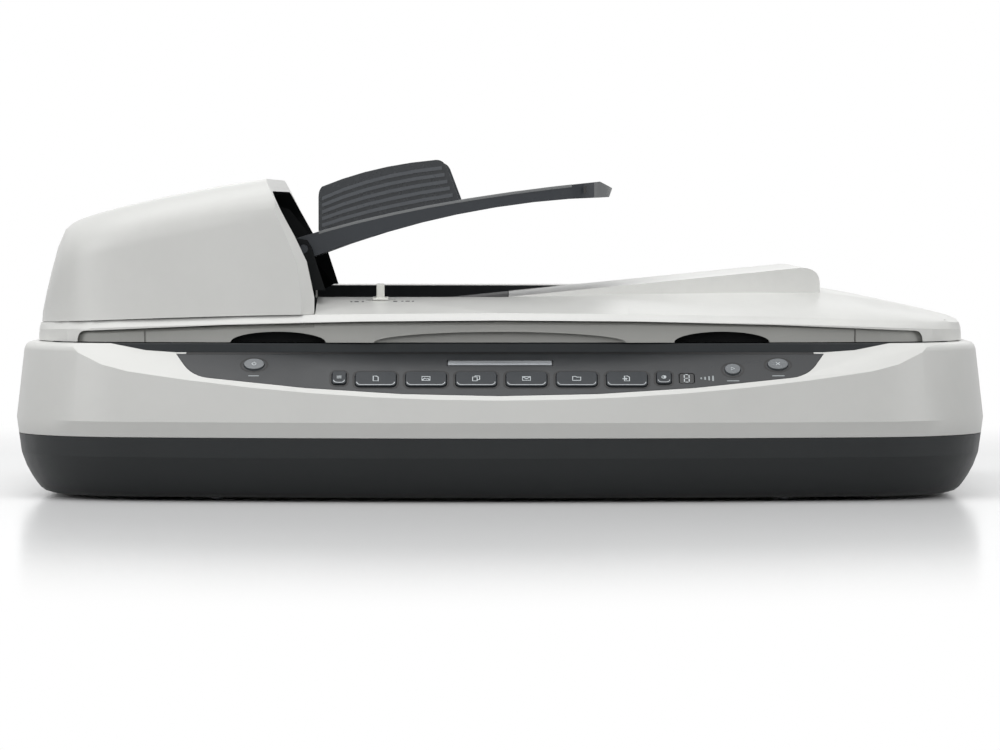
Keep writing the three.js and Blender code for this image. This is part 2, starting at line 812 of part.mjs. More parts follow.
function buttonList() {
  const keys = Array.from({ length: keyCount }, (_, i) => ({
    name: `scan_key_${i + 1}`,
    x: firstKeyX + keyPitch * i,
    y: keyRow,
    wide: keyWidth,
    high: keyHeight,
    corner: keyCorner,
  }));
  return [
    { name: 'power_button', ...powerAt },
    { name: 'menu_key', ...menuAt, corner: smallCorner },
    ...keys,
    { name: 'colour_key', ...colourAt, corner: smallCorner },
    { name: 'copy_button', ...copyAt },
    { name: 'cancel_button', ...cancelAt },
  ];
}

function buttonShape({ x, y, wide, high, corner }, grow) {
  if (!corner) return oval(x, y, wide + grow * 2, high + grow * 2);
  return roundedRectangle(x, y, wide + grow * 2, high + grow * 2, corner + grow);
}

const buttonSteps = 3;
const ovalShare = 4;
const pegShares = [-0.97, -0.4, 0.4, 0.75];

function stepsOf(button) {
  return button.corner ? buttonSteps : buttonSteps * ovalShare;
}

function controlPanel() {
  const plate = prism(panelShape(0), 'z', -panelThick, 0, { steps: bowSteps });
  const holes = buttonList().map((button) => (
    prism(buttonShape(button, seat), 'z', -panelThick - overrun, overrun, { steps: stepsOf(button) })));
  const display = prism(roundedRectangle(displayAt.x, displayAt.y, displayAt.wide + seat * 2,
    displayAt.high + seat * 2, smallCorner), 'z', -panelThick - overrun, overrun, { steps: buttonSteps });
  const barHole = block(-barHalf - seat, barHalf + seat, barRow - barHeight / 2 - seat,
    barRow + barHeight / 2 + seat, -panelThick - overrun, overrun);
  const pegs = pegShares.map((share) => (
    rod(boardPegRadius, 'z', -boardDrop + seat, -panelThick / 2, boardHalf * share,
      boardTop - boardPegRadius * 2, roundSides / 2)));
  return join(cut(plate, ...holes, display, barHole), ...pegs);
}

// A cap, the flange that keeps it under the panel and the stem that presses the board's switch
function button(spec) {
  const under = -panelThick - seat;
  const cap = prism(buttonShape(spec, 0), 'z', under - buttonFlange, buttonProud, { steps: stepsOf(spec) });
  const halfWide = spec.wide / 2 + buttonFlange;
  const halfHigh = spec.high / 2 + buttonFlange;
  const flange = block(spec.x - halfWide, spec.x + halfWide, spec.y - halfHigh, spec.y + halfHigh,
    under - buttonFlange, under);
  const stemEnd = -boardDrop + buttonTravel + seat;
  return join(cap, flange, block(spec.x - stemRadius, spec.x + stemRadius,
    spec.y - stemRadius, spec.y + stemRadius, stemEnd, under));
}

function mainBoard() {
  const plate = block(-mainBoardHalf, mainBoardHalf, mainBoardFront, mainBoardRear,
    mainBoardHeight, mainBoardHeight + boardThick);
  const chips = [-0.7, -0.35, 0.75].map((share) => {
    const x = mainBoardHalf * share;
    const y = mainBoardFront + socketDeep;
    return block(x - rodBlock, x + rodBlock, y - rodBlock, y + rodBlock,
      mainBoardHeight, mainBoardHeight + boardThick + chipHigh);
  });
  return join(plate, ...chips);
}

function socket({ x, wide, high }) {
  const face = rear - tubLead * 2;
  return block(x - wide / 2, x + wide / 2, rear - socketDeep, face, socketBase, socketBase + high);
}

function powerInlet() {
  const z = socketBase + inlet.high / 2;
  const boreEnd = rear - socketDeep + caseWall;
  const bore = rod(inlet.boreRadius, 'y', boreEnd, rear + overrun, inlet.x, z);
  return join(cut(socket(inlet), bore), rod(inlet.pinRadius, 'y', boreEnd - caseWall / 2,
    rear - caseWall, inlet.x, z, roundSides / 2));
}

function dataSocket() {
  const { x, high, mouth } = dataPort;
  const z = socketBase + high / 2;
  const tongue = mouth / 5;
  const open = block(x - mouth / 2, x + mouth / 2, rear - socketDeep + caseWall, rear + overrun,
    z - mouth / 2, z + mouth / 2);
  return join(cut(socket(dataPort), open), block(x - tongue, x + tongue,
    rear - socketDeep + caseWall / 2, rear - caseWall, z - tongue, z + tongue));
}

// The loop of a flat belt round two pulleys in a plane
function beltShape([ax, ay], [bx, by], radius, thick) {
  const lean = Math.atan2(by - ay, bx - ax);
  const half = roundSides / 2;
  const loop = (reach) => {
    const ends = [[ax, ay, lean + Math.PI / 2], [bx, by, lean - Math.PI / 2]];
    return ends.flatMap(([x, y, start]) => Array.from({ length: half + 1 }, (_, i) => {
      const angle = start + Math.PI * i / half;
      return [x + reach * Math.cos(angle), y + reach * Math.sin(angle)];
    }));
  };
  const shape = polygon(loop(radius + thick));
  shape.holes.push(new THREE.Path(loop(radius).map(([x, y]) => new THREE.Vector2(x, y))));
  return shape;
}

function pulley([x, y], shaftLow, bore) {
  const low = beltHeight - beltWide / 2 - seat;
  const high = beltHeight + beltWide / 2 + seat;
  const wheel = join(
    rod(pulleyRadius, 'z', low - beltThick, high + beltThick, x, y, rollerSides),
    rod(pulleyRadius + beltThick, 'z', low - beltThick, low, x, y, rollerSides),
    rod(pulleyRadius + beltThick, 'z', high, high + beltThick, x, y, rollerSides),
  );
  if (bore) return cut(wheel, rod(pulleyShaft + seat, 'z', low - overrun, high + overrun, x, y));
  return join(wheel, rod(pulleyShaft, 'z', shaftLow, high, x, y));
}

function scanMotor() {
  const [x, y] = pulleyPlaces.drive;
  const low = tubFloor + seat;
  const can = rod(scanMotorRadius, 'z', low, low + scanMotorHigh, x, y, rollerSides);
  return cut(can, rod(pulleyShaft + seat, 'z', low + scanMotorHigh / 2, low + scanMotorHigh + overrun, x, y));
}

const lampLift = carriageTop - lampRadius - seat;
const lampX = carriageHome - carriageHalf / 2;
const lampHalf = carriageLength / 2 - rodBlock;

function carriage() {
  const [y0, y1] = [carriageMid - carriageLength / 2, carriageMid + carriageLength / 2];
  const shape = roundedRectangle(carriageHome, (carriageLow + carriageTop) / 2, carriageWide,
    carriageTop - carriageLow, keyCorner);
  const housing = prism(shape, 'y', y0, y1, { steps: buttonSteps });
  const bearings = [-1, 1].map((side) => {
    const x = carriageHome + side * (carriageHalf - rodBlock);
    return block(x - rodBlock / 2, x + rodBlock / 2, rodY - rodBlock, rodY + rodBlock,
      rodHeight - rodBlock + caseWall, carriageLow + caseWall);
  });
  const runY = beltY - pulleyRadius - seat - beltThick / 2;
  const clamp = block(carriageHome - rodBlock, carriageHome + rodBlock, runY - beltThick * 2, runY + beltThick * 2,
    beltHeight - beltWide, carriageLow + caseWall);
  const beltHole = block(carriageHome - carriageWide, carriageHome + carriageWide,
    runY - beltThick / 2 - seat, runY + beltThick / 2 + seat,
    beltHeight - beltWide / 2 - seat, beltHeight + beltWide / 2 + seat);
  const lampRoom = block(lampX - lampSlot / 2, lampX + lampSlot / 2, carriageMid - lampHalf - seat,
    carriageMid + lampHalf + seat, carriageTop - lampSlot, carriageTop + overrun);
  const lightSlot = block(carriageHome + carriageHalf / 4, carriageHome + carriageHalf / 4 + mirrorSlot,
    carriageMid - lampHalf, carriageMid + lampHalf, carriageTop - mirrorSlot * 2, carriageTop + overrun);
  return cut(join(housing, ...bearings, clamp), beltHole, lampRoom, lightSlot,
    rod(rodRadius + seat, 'x', carriageHome - carriageWide, carriageHome + carriageWide, rodY, rodHeight));
}

function hingePost(x) {
  const slab = block(x - postWide / 2, x + postWide / 2, hingeY - postThick / 2, hingeY + postThick / 2,
    postLow, hingeHeight);
  const barrel = rod(hingeRadius, 'x', x - postWide / 2, x + postWide / 2, hingeY, hingeHeight);
  const pin = rod(hingePin, 'x', x - postWide / 2 - hingePinLong, x + postWide / 2 + hingePinLong,
    hingeY, hingeHeight, roundSides / 2);
  return join(slab, barrel, pin);
}

function buildBase() {
  piece('lower_tub', lowerTub(), charcoal);
  piece('upper_case', upperCase(), lightGrey);
  piece('platen_frame', platenFrame(), charcoal);
  piece('platen_glass', glass(platenLeft, platenRight), clear);
  piece('feeder_glass', glass(feederLeft, feederRight), clear);

  const panel = new THREE.Group();
  panel.position.set(0, front, creaseHeight);
  panel.rotation.x = facetTilt;
  scanner.add(panel);
  piece('control_panel', controlPanel(), slate, panel);
  piece('status_bar', block(-barHalf, barHalf, barRow - barHeight / 2, barRow + barHeight / 2,
    -panelThick, barProud), bright, panel);
  piece('status_display', prism(roundedRectangle(displayAt.x, displayAt.y, displayAt.wide, displayAt.high,
    smallCorner - seat), 'z', -panelThick, 0, { steps: buttonSteps }), black, panel);
  piece('panel_board', block(-boardHalf, boardHalf, boardLow, boardTop, -boardDrop - boardThick, -boardDrop),
    board, panel);
  for (const spec of buttonList()) piece(spec.name, button(spec), keyGrey, panel);

  piece('main_board', mainBoard(), board);
  piece('power_inlet', powerInlet(), black);
  piece('data_socket', dataSocket(), black);
  piece('guide_rod', rod(rodRadius, 'x', -rodHalf + seat, rodHalf - seat, rodY, rodHeight), steel);
  piece('slide_rail', block(-rodHalf + rodBlock, rodHalf - rodBlock, railY - railWide / 2, railY + railWide / 2,
    carriageLow - railWide - seat, carriageLow - seat), steel);
  piece('scan_motor', scanMotor(), steel);
  piece('drive_belt', prism(beltShape(pulleyPlaces.idler, pulleyPlaces.drive, pulleyRadius + seat, beltThick),
    'z', beltHeight - beltWide / 2, beltHeight + beltWide / 2), black);
  piece('drive_pulley', pulley(pulleyPlaces.drive, tubFloor + scanMotorHigh / 2 + seat * 2, false), steel);
  piece('idler_pulley', pulley(pulleyPlaces.idler, 0, true), steel);
  for (const [name, x, y] of footPlaces()) {
    piece(name, rod(footRadius, 'z', 0, standHeight + footRecess - seat, x, y), rubber);
  }
  piece('carriage', carriage(), black);
  piece('scan_lamp', rod(lampRadius, 'y', carriageMid - lampHalf, carriageMid + lampHalf, lampX, lampLift), white);
  piece('hinge_post_left', hingePost(-postX), charcoal);
  piece('hinge_post_right', hingePost(postX), charcoal);
}

const lidPlan = planOf({
  half: lidHalf,
  front: lidFront,
  rear: hingeY + hingeSweep,
  bow: lidBow,
  corner: lidCorner,
  rearCorner: lidRearCorner,
});
const stepX = hoodFoot + binStep;

function creaseAt(x) {
  return creaseHeightMid - creaseSag * (x / lidHalf) ** 2;
}

// Upper limit of the lid's skin at its falling right end and its rounded ends
function lidLimit(x) {
  const roof = roofHeight - Math.max(x - roofX, 0) * Math.tan(roofFall);
  const over = Math.max(Math.abs(x) - lidHalf + lidEndRound, 0);
  const end = over > 0 ? lidEndHeight + Math.sqrt(Math.max(lidEndRound ** 2 - over ** 2, 0)) : roof;
  return Math.min(roof, end);
}

// Where the ledge behind the lid's crease ends
function rimPlace(x) {
  return Math.max(binFront, frontAt(lidPlan, x) + creaseIn + rimLeast);
}

function rimTop(x) {
  const share = Math.min(Math.max(x / rimLiftX, 0), 1);
  return rimHeight + rimLift * share;
}

// Height of the lid's skin; left of the step it is a flat seat for the hood
function lidTop(x, y) {
  const crease = creaseAt(x);
  const creaseY = frontAt(lidPlan, x) + creaseIn;
  if (x < stepX || y <= creaseY) return Math.min(crease, lidLimit(x));
  const rimY = rimPlace(x);
  const rise = (rimTop(x) - crease) * Math.min((y - creaseY) / (rimY - creaseY), 1);
  const back = Math.min(Math.max((y - rimY) / (binRear - rimY), 0), 1);
  return Math.min(crease + rise + (backHeight - rimTop(x)) * back, lidLimit(x));
}

// Places along the width where the outline bends, the same ones for every skin
function stationsOf(plan) {
  const half = [0];
  for (let i = 2; i <= bowSteps; i += 2) half.push(plan.bow * Math.sin(plan.bowEnd * i / bowSteps));
  for (let i = 1; i <= cornerSteps; i += 1) {
    const angle = plan.bowEnd + (Math.PI / 2 - plan.bowEnd) * i / cornerSteps;
    half.push(plan.cornerX + plan.corner * Math.sin(angle));
  }
  const all = [...half, ...half.map((x) => -x), stepX - binStep / 2, stepX, roofX];
  return [...new Set(all)].sort((a, b) => a - b);
}

// One cross-section of the lid, wound anticlockwise seen from the right end. Its rear lower edge is
// rounded about the hinge, so that it clears the deck as the lid opens.
function lidSection(plan, x, sink, low, hingeRound) {
  const y0 = frontAt(plan, x);
  const y1 = rearAt(plan, x);
  const top = (y) => lidTop(x, y) - sink;
  const creaseY = y0 + creaseIn;
  const rimY = Math.min(rimPlace(x), y1 - creaseEdge * 3);
  const backY = Math.max(Math.min(binRear, y1 - creaseEdge * 2), rimY + creaseEdge / 2);
  const points = [[y0, low]];
  if (hingeRound) {
    const bottom = hingeHeight - hingeRound;
    const high = Math.min(hingeHeight, top(y1) - creaseEdge - seat);
    for (let i = 0; i <= edgeSteps; i += 1) {
      const angle = Math.PI / 2 * i / edgeSteps;
      points.push([y1 - hingeRound * (1 - Math.sin(angle)), high - (high - bottom) * Math.cos(angle)]);
    }
  } else {
    points.push([y1, low]);
  }
  points.push([y1, top(y1) - creaseEdge], [y1 - creaseEdge, top(y1)], [backY, top(backY)],
    [rimY, top(rimY)], [creaseY, top(creaseY)], [y0, top(creaseY) - creaseEdge]);
  return points.map(([y, z]) => new THREE.Vector3(y, z, x));
}

function lidSkin(wall, low, hingeRound) {
  const plan = inset(lidPlan, wall);
  const rings = stationsOf(plan).map((x) => lidSection(plan, x, wall, low, hingeRound));
  return solid(loft(rings).applyMatrix4(along.x));
}

function rampLine(x) {
  return rampPeak - rampSlope * (rampPeakX - x);
}

function rampX(z) {
  return rampPeakX - (rampPeak - z) / rampSlope;
}

// Wedge whose upper face is the output ramp, made smaller all round by a wall
function rampWedge(wall, from) {
  const shape = new THREE.Shape();
  const low = creaseHeightMid - lidWall - seat;
  shape.moveTo(from, low);
  shape.lineTo(rampEndX - wall, low);
  shape.lineTo(rampEndX - wall, rampPeak - rampRound);
  shape.quadraticCurveTo(rampEndX - wall, rampPeak + seat - wall, rampPeakX - wall, rampPeak - wall);
  shape.lineTo(from, rampLine(from) - wall);
  return prism(shape, 'y', binFront + wall, binRear - wall);
}

// Room above the ramp line between the bin's walls, sunk and widened by a margin
function binRoom(sink, margin, right) {
  const left = binLeft - margin * 2;
  const shape = polygon([[left, rampLine(left) - sink], [right, rampLine(right) - sink],
    [right, rampPeak + overrun], [left, rampPeak + overrun]]);
  return prism(shape, 'y', binFront - margin, binRear + margin);
}

function archShape() {
  const shape = new THREE.Shape();
  const inner = archHalf - archCorner;
  shape.moveTo(-archHalf, lidLow - overrun);
  shape.lineTo(archHalf, lidLow - overrun);
  shape.lineTo(archHalf, lidLow);
  shape.quadraticCurveTo(archHalf, archEnd, inner, archEnd);
  shape.quadraticCurveTo(0, 2 * archMid - archEnd, -inner, archEnd);
  shape.quadraticCurveTo(-archHalf, archEnd, -archHalf, lidLow);
  return shape;
}

const hingeRoomHalf = postWide / 2 + running;
const hingeLugThick = hingePinLong - running * 2;

function hingeLugs() {
  return [-postX, postX].flatMap((x) => [-1, 1].map((side) => {
    const from = x + side * hingeRoomHalf;
    const to = from + side * hingeLugThick;
    return block(Math.min(from, to), Math.max(from, to), hingeY - hingeSweep * 0.8, hingeY + hingeSweep * 0.75,
      hingeHeight - hingeSweep * 0.75, backHeight - lidWall / 2);
  }));
}

const ledgeTilt = Math.atan2(rimTop(stopX) - creaseAt(stopX),
  rimPlace(stopX) - frontAt(lidPlan, stopX) - creaseIn);
along.ledge = new THREE.Matrix4().makeRotationX(ledgeTilt).setPosition(stopX, stopY, lidTop(stopX, stopY));

function centred(wide, high) {
  return polygon([[-wide / 2, -high / 2], [wide / 2, -high / 2], [wide / 2, high / 2], [-wide / 2, high / 2]]);
}

const chassisHole = { right: binLeft + seat, front: cheekFront - rollerGap, rear: chassisRear + rollerGap };

// Clear space round the two hinge posts
function hingeRooms() {
  return [-postX, postX].map((x) => (
    block(x - hingeRoomHalf, x + hingeRoomHalf, hingeY - hingeSweep, lidPlan.y1 + overrun,
      lidLow - overrun, hingeHeight + hingeRadius + running)));
}

function lidShell() {
  const outer = join(lidSkin(0, lidLow, hingeSweep), rampWedge(0, rampX(rimHeight)));
  const cavity = join(lidSkin(lidWall, lidLow - overrun, 0), rampWedge(lidWall, rampX(backHeight) + lidWall * 2));
  const binWalls = binRoom(linerThick + seat + lidWall, lidWall + seat, rampX(backHeight) + lidWall);
  const hollow = cut(cavity, binWalls);
  const pinHole = rod(hingePin + seat, 'x', -postX - postWide, postX + postWide, hingeY, hingeHeight);
  const rim = inset(lidPlan, hoodInset + hoodWall);
  const feederHole = block(chassisLeft - rollerGap, chassisHole.right, chassisHole.front, chassisHole.rear,
    lidLow, backHeight + overrun).intersect(solid(loft([planRing(rim, 0), planRing(rim, backHeight * 2)])));
  const arch = prism(archShape(), 'y', lidFront - overrun, lidFront + archDeep, { steps: bowSteps });
  const lugs = join(...hingeLugs()).intersect(lidSkin(0, lidLow, hingeSweep));
  return cut(join(cut(outer, hollow), lugs), ...hingeRooms(), pinHole, feederHole, arch,
    binRoom(linerThick + seat, seat, rampX(rimHeight)),
    binRoom(0, 0, rampX(backHeight)),
    block(rampX(rimHeight) - overrun, rampX(backHeight) - overrun, binRear - overrun, binRear + seat,
      rampLine(rampX(rimHeight)) - linerThick, backHeight + overrun),
    prism(centred(stopTravel * 2 + stopBase[0] / 2 + seat * 2, (stopStem + seat) * 2), 'ledge', -stopDrop * 2, overrun));
}

// Black liner: the bin's floor, its front lip and its rear wall, which tapers out where the ramp rises
function outputBed() {
  const floorEnd = rampX(rimHeight) - seat;
  const left = binLeft + seat * 2;
  const slab = (sink, right, y0, y1, topZ) => prism(polygon([
    [left, rampLine(left) - sink], [right, rampLine(right) - sink],
    [right, topZ ?? rampLine(right)], [left, topZ ?? rampLine(left)]]), 'y', y0, y1);
  const floor = slab(linerThick, floorEnd, binFront, binRear);
  const lip = slab(linerThick, floorEnd, binFront, binFront + linerThick, rimHeight - seat);
  const wallEnd = rampX(backHeight) - overrun - seat;
  const wall = slab(linerThick - seat, wallEnd, binRear - linerThick, binRear, backHeight - seat);
  const ramp = rampWedge(-seat, rampX(rimHeight) + seat);
  return cut(join(floor, lip, wall), ramp);
}

function notchShape(x, half) {
  const shape = new THREE.Shape();
  shape.moveTo(x - half, lidLow - overrun);
  shape.lineTo(x + half, lidLow - overrun);
  shape.lineTo(x + half, lidLow);
  shape.absellipse(x, lidLow, half, notchHigh, 0, Math.PI);
  return shape;
}

function lidPan() {
  const outer = lidSkin(lidWall + running, lidLow, 0)
    .intersect(block(-lidHalf, lidHalf, lidFront, panRear, lidLow, lidLow + panSkirt));
  const rim = lidWall + running + linerThick;
  const insidePlan = inset({ ...lidPlan, y1: panRear + rim - linerThick }, rim);
  const room = (low, high) => solid(loft([planRing(insidePlan, low), planRing(insidePlan, high)]));
  const grip = outer.intersect(
    block(-lidHalf, lidHalf, lidFront, lidFront + panBlockDeep, lidLow, lidLow + notchHigh + lidWall));
  const tray = join(cut(outer, room(panFloor + panThick, rimHeight)), grip);
  const padRoom = block(padLeft - seat, padRight + seat, padFront - seat, padRear + seat, lidLow - overrun, panFloor);
  const notches = [
    prism(notchShape(-notchX, notchHalf), 'y', lidFront - overrun, notchRear, { steps: bowSteps * 2 }),
    prism(notchShape(notchX, notchHalf), 'y', lidFront - overrun, notchRear, { steps: bowSteps * 2 }),
    prism(notchShape(0, middleHalf), 'y', lidFront - overrun, middleRear, { steps: bowSteps * 2 }),
  ];
  const grooves = [-grooveX, grooveX].map((x) => (
    block(x - grooveWide / 2, x + grooveWide / 2, lidFront, frontAt(lidPlan, x) + lidWall + grooveWide * 2,
      lidLow, lidLow + panSkirt)));
  const scanSlot = block(feederLeft + grooveWide, feederRight + overrun, glassFront, glassRear,
    lidLow - overrun, rimHeight);
  const chassisNotch = block(chassisLeft - running, binLeft, panRear - overrun, panRear + overrun,
    panFloor + panThick, rimHeight);
  return cut(tray, padRoom, ...notches, ...grooves, scanSlot, chassisNotch);
}

function paperStop() {
  const [baseX, baseY, baseZ] = stopBase;
  const [pegX, pegY, pegZ] = stopPeg;
  return join(
    prism(centred(baseX, baseY), 'z', seat, seat + baseZ),
    prism(roundedRectangle(0, 0, pegX, pegY, smallCorner / 2), 'z', seat, seat + pegZ, { steps: buttonSteps }),
    prism(centred(baseX / 2, stopStem * 2), 'z', -stopDrop, seat + baseZ / 2),
    prism(centred(baseX, baseY), 'z', -stopDrop, -stopDrop + stopStem),
  );
}

function buildLid() {
  piece('lid_shell', lidShell(), lightGrey);
  piece('lid_pan', lidPan(), midGrey);
  piece('document_pad', block(padLeft, padRight, padFront, padRear, deckHeight + seat, padTop), white);
  piece('output_bed', outputBed(), black);
  const ledge = new THREE.Group();
  ledge.position.set(stopX, stopY, lidTop(stopX, stopY));
  ledge.rotation.x = ledgeTilt;
  scanner.add(ledge);
  piece('paper_stop', paperStop(), white, ledge);
}

// The lower of two values, with the corner between them rounded
function smoothMin(a, b, blend) {
  return (a + b - Math.sqrt((a - b) ** 2 + blend ** 2)) / 2;
}

// Height of the hood along the width: its steep left side runs into the bowed roof
function hoodTop(x, wall) {
  const down = hoodPeakX - x;
  const roof = hoodPeak - hoodSlope * down - Math.max(down, 0) ** 2 / (2 * hoodTopBow);
  const side = hoodLeftLow + hoodLeftSlope * (x - hoodLeft);
  return smoothMin(side - wall * Math.hypot(1, hoodLeftSlope), roof - wall * Math.hypot(1, hoodSlope), hoodBlend);
}

function hoodSkin(wall, drop) {
  const plan = inset(lidPlan, hoodInset + wall);
  const reach = hoodFoot + overrun * 2 - hoodLeft - wall;
  const rings = hoodShares.map((share) => {
    const x = hoodLeft + wall + reach * share;
    const low = lidTop(Math.min(x, stepX - binStep), plan.y0) + seat - drop;
    const high = hoodTop(x, wall);
    const round = Math.min(hoodRound, (high - low) * 0.6);
    const y0 = frontAt(plan, x);
    const y1 = rearAt(plan, x);
    const points = [[y0, low], [y1, low]];
    for (const [y, start] of [[y1 - hoodDraft - round, 0], [y0 + hoodDraft + round, Math.PI / 2]]) {
      for (let i = 0; i <= cornerSteps; i += 1) {
        const angle = start + Math.PI / 2 * i / cornerSteps;
        points.push([y + round * Math.cos(angle), high - round + round * Math.sin(angle)]);
      }
    }
    return points.map(([y, z]) => new THREE.Vector3(y, z, x));
  });
  return solid(loft(rings).applyMatrix4(along.x));
}

// Everything left of the hood's slanted open face, moved left by a shift
function leftOfFace(shift, edge) {
  const left = -lidHalf - hoodBevel * 2;
  const face = hoodFace.map(([x, z]) => [x - shift, z]);
  const shape = polygon([[left, hoodFace[0][1]], ...face, [left, hoodFace.at(-1)[1]]]);
  return prism(shape, 'y', frontAt(lidPlan, hoodFoot) + hoodInset, lidPlan.y1 - hoodInset, { edge });
}

function adfCover() {
  const shell = hoodSkin(0, 0).intersect(leftOfFace(0, hoodBevel));
  const room = hoodSkin(hoodWall, overrun).intersect(leftOfFace(hoodLipDeep, 0));
  return cut(shell, room, hoodSkin(hoodLip, overrun), ...hingeRooms());
}

// Pitch circles touch with a little play; phases put a tooth of one wheel in a gap of the next
function gearShape([cx, cy], teeth, phase) {
  const pitchRadius = gearModule * teeth / 2;
  const profile = [[-0.31, -1.15], [-0.13, 0.8], [0.13, 0.8], [0.31, -1.15]];
  const points = [];
  for (let tooth = 0; tooth < teeth; tooth += 1) {
    for (const [turnShare, heightShare] of profile) {
      const angle = phase + (tooth + turnShare) * 2 * Math.PI / teeth;
      const radius = pitchRadius + gearModule * heightShare;
      points.push([cx + radius * Math.cos(angle), cy + radius * Math.sin(angle)]);
    }
  }
  return polygon(points);
}

function meshReach(teethA, teethB) {
  return gearModule * (teethA + teethB) / 2 + gearPlay;
}

function meshPhase([ax, ay], teethA, phaseA, [bx, by], teethB) {
  const line = Math.atan2(by - ay, bx - ax);
  return line + Math.PI - Math.PI / teethB + (line - phaseA) * teethA / teethB;
}

function gearTrain() {
  const line = Math.atan2(pickAt[1] - feedAt[1], pickAt[0] - feedAt[0]);
  const first = meshReach(feedTeeth, pinionTeeth);
  const pinion = [feedAt[0] + first * Math.cos(line), feedAt[1] + first * Math.sin(line)];
  const toPick = Math.hypot(pickAt[0] - pinion[0], pickAt[1] - pinion[1]);
  const a = meshReach(pinionTeeth, idlerTeeth);
  const b = meshReach(idlerTeeth, pickTeeth);
  const turn = Math.acos((a ** 2 + toPick ** 2 - b ** 2) / (2 * a * toPick));
  const idler = [pinion[0] + a * Math.cos(line - turn), pinion[1] + a * Math.sin(line - turn)];
  const pinionPhase = meshPhase(feedAt, feedTeeth, 0, pinion, pinionTeeth);
  const idlerPhase = meshPhase(pinion, pinionTeeth, pinionPhase, idler, idlerTeeth);
  const pickPhase = meshPhase(idler, idlerTeeth, idlerPhase, pickAt, pickTeeth);
  return { pinion, idler, pinionPhase, idlerPhase, pickPhase };
}

const train = gearTrain();
const gearFrom = cheekRear + seat * 4;
const gearTo = gearFrom + gearWide;
const rollerMid = (cheekFront + cheekRear) / 2;
const innerHalf = (cheekRear - cheekFront) / 2 - cheekThick;
const shaftFront = cheekFront - exitBeltWide - running * 4;

function gear(at, teeth, phase) {
  return prism(gearShape(at, teeth, phase), 'y', gearFrom, gearTo);
}

function adfChassis() {
  const cheek = polygon([[chassisLeft, chassisLow], ...cheekOutline, [cheekOutline.at(-1)[0], chassisLow]]);
  const right = cheekOutline.at(-1)[0];
  const [motorX, motorZ] = train.pinion;
  const [deckX, deckZ] = deckFrom;
  const deck = polygon([deckFrom, deckTo, [deckTo[0], deckTo[1] - deckThick], [deckX, deckZ - deckThick]]);
  const body = join(
    prism(cheek, 'y', cheekFront, cheekFront + cheekThick),
    prism(cheek, 'y', cheekRear - cheekThick, cheekRear),
    block(chassisLeft, right, cheekFront, chassisRear, chassisLow, chassisLow + chassisFloor),
    prism(deck, 'y', cheekFront + cheekThick / 2, cheekRear - cheekThick / 2),
    prism(polygon(throatWall), 'y', cheekFront + cheekThick / 2, cheekRear - cheekThick / 2),
    block(motorX - rollerGap, motorX + rollerGap, chassisRear - motorDeep + gearPlay, chassisRear, chassisLow, motorZ - motorRadius / 2),
    rod(gearPin, 'y', cheekRear - cheekThick / 2, gearTo + running, ...train.idler),
  );
  const holes = [
    [feedShaftRadius, feedAt], [thinShaft, pickAt], [thinShaft, exitAt], [pivotRadius, trayPivot],
  ].map(([radius, at]) => rod(radius + seat, 'y', cheekFront - overrun, cheekRear + overrun, ...at));
  const drumRoom = block(feedAt[0] - feedRadius - running, feederRight + overrun, glassFront, glassRear,
    chassisLow - overrun, chassisLow + chassisFloor + overrun);
  const gearReach = gearModule * (feedTeeth / 2 + 1) + seat;
  const gearRoom = rod(gearReach, 'y', gearFrom - seat, gearTo + seat, ...feedAt);
  return cut(body, ...holes, drumRoom, gearRoom,
    rod(motorRadius + seat, 'y', gearTo + seat, chassisRear + overrun, motorX, motorZ, rollerSides));
}

function sleeve(at, radius, shaft, half) {
  return cut(rod(radius, 'y', rollerMid - half, rollerMid + half, ...at, rollerSides),
    rod(shaft + seat, 'y', rollerMid - half - overrun, rollerMid + half + overrun, ...at));
}

function feederShaft(at, radius, from, to) {
  return rod(radius, 'y', from, to, ...at);
}

function beltWheel(at) {
  return rod(beltPulley, 'y', shaftFront, shaftFront + exitBeltWide + running, ...at);
}

function motorPinion() {
  const shaft = feederShaft(train.pinion, pulleyShaft, gearFrom, gearTo + motorDeep / 2);
  return join(gear(train.pinion, pinionTeeth, train.pinionPhase), shaft);
}

function feedMotor() {
  const from = chassisRear - motorDeep + seat;
  return cut(rod(motorRadius, 'y', from, chassisRear, ...train.pinion, rollerSides),
    rod(pulleyShaft + seat, 'y', from - overrun, gearTo + motorDeep / 2 + seat * 2, ...train.pinion));
}

function buildFeeder() {
  piece('adf_chassis', adfChassis(), black);
  piece('adf_cover', adfCover(), lightGrey);
  piece('feed_shaft', join(feederShaft(feedAt, feedShaftRadius, shaftFront, gearTo), beltWheel(feedAt),
    gear(feedAt, feedTeeth, 0)), steel);
  piece('feed_roller', sleeve(feedAt, feedRadius, feedShaftRadius, innerHalf - rollerGap), rubber);
  piece('pick_shaft', join(feederShaft(pickAt, thinShaft, cheekFront + seat, gearTo),
    gear(pickAt, pickTeeth, train.pickPhase)), steel);
  piece('pick_roller', sleeve(pickAt, pickRadius, thinShaft, pickHalf), rubber);
  piece('exit_shaft', join(feederShaft(exitAt, thinShaft, shaftFront, cheekRear - seat), beltWheel(exitAt)), steel);
  piece('exit_roller', sleeve(exitAt, exitRadius, thinShaft, innerHalf - rollerGap * 2), rubber);
  piece('motor_pinion', motorPinion(), steel);
  piece('idler_gear', cut(gear(train.idler, idlerTeeth, train.idlerPhase),
    rod(gearPin + seat, 'y', gearFrom - overrun, gearTo + overrun, ...train.idler)), white);
  piece('feed_motor', feedMotor(), steel);
  piece('exit_belt', prism(beltShape(feedAt, exitAt, beltPulley + seat, exitBeltThick), 'y',
    shaftFront + seat, shaftFront + seat + exitBeltWide), black);
}

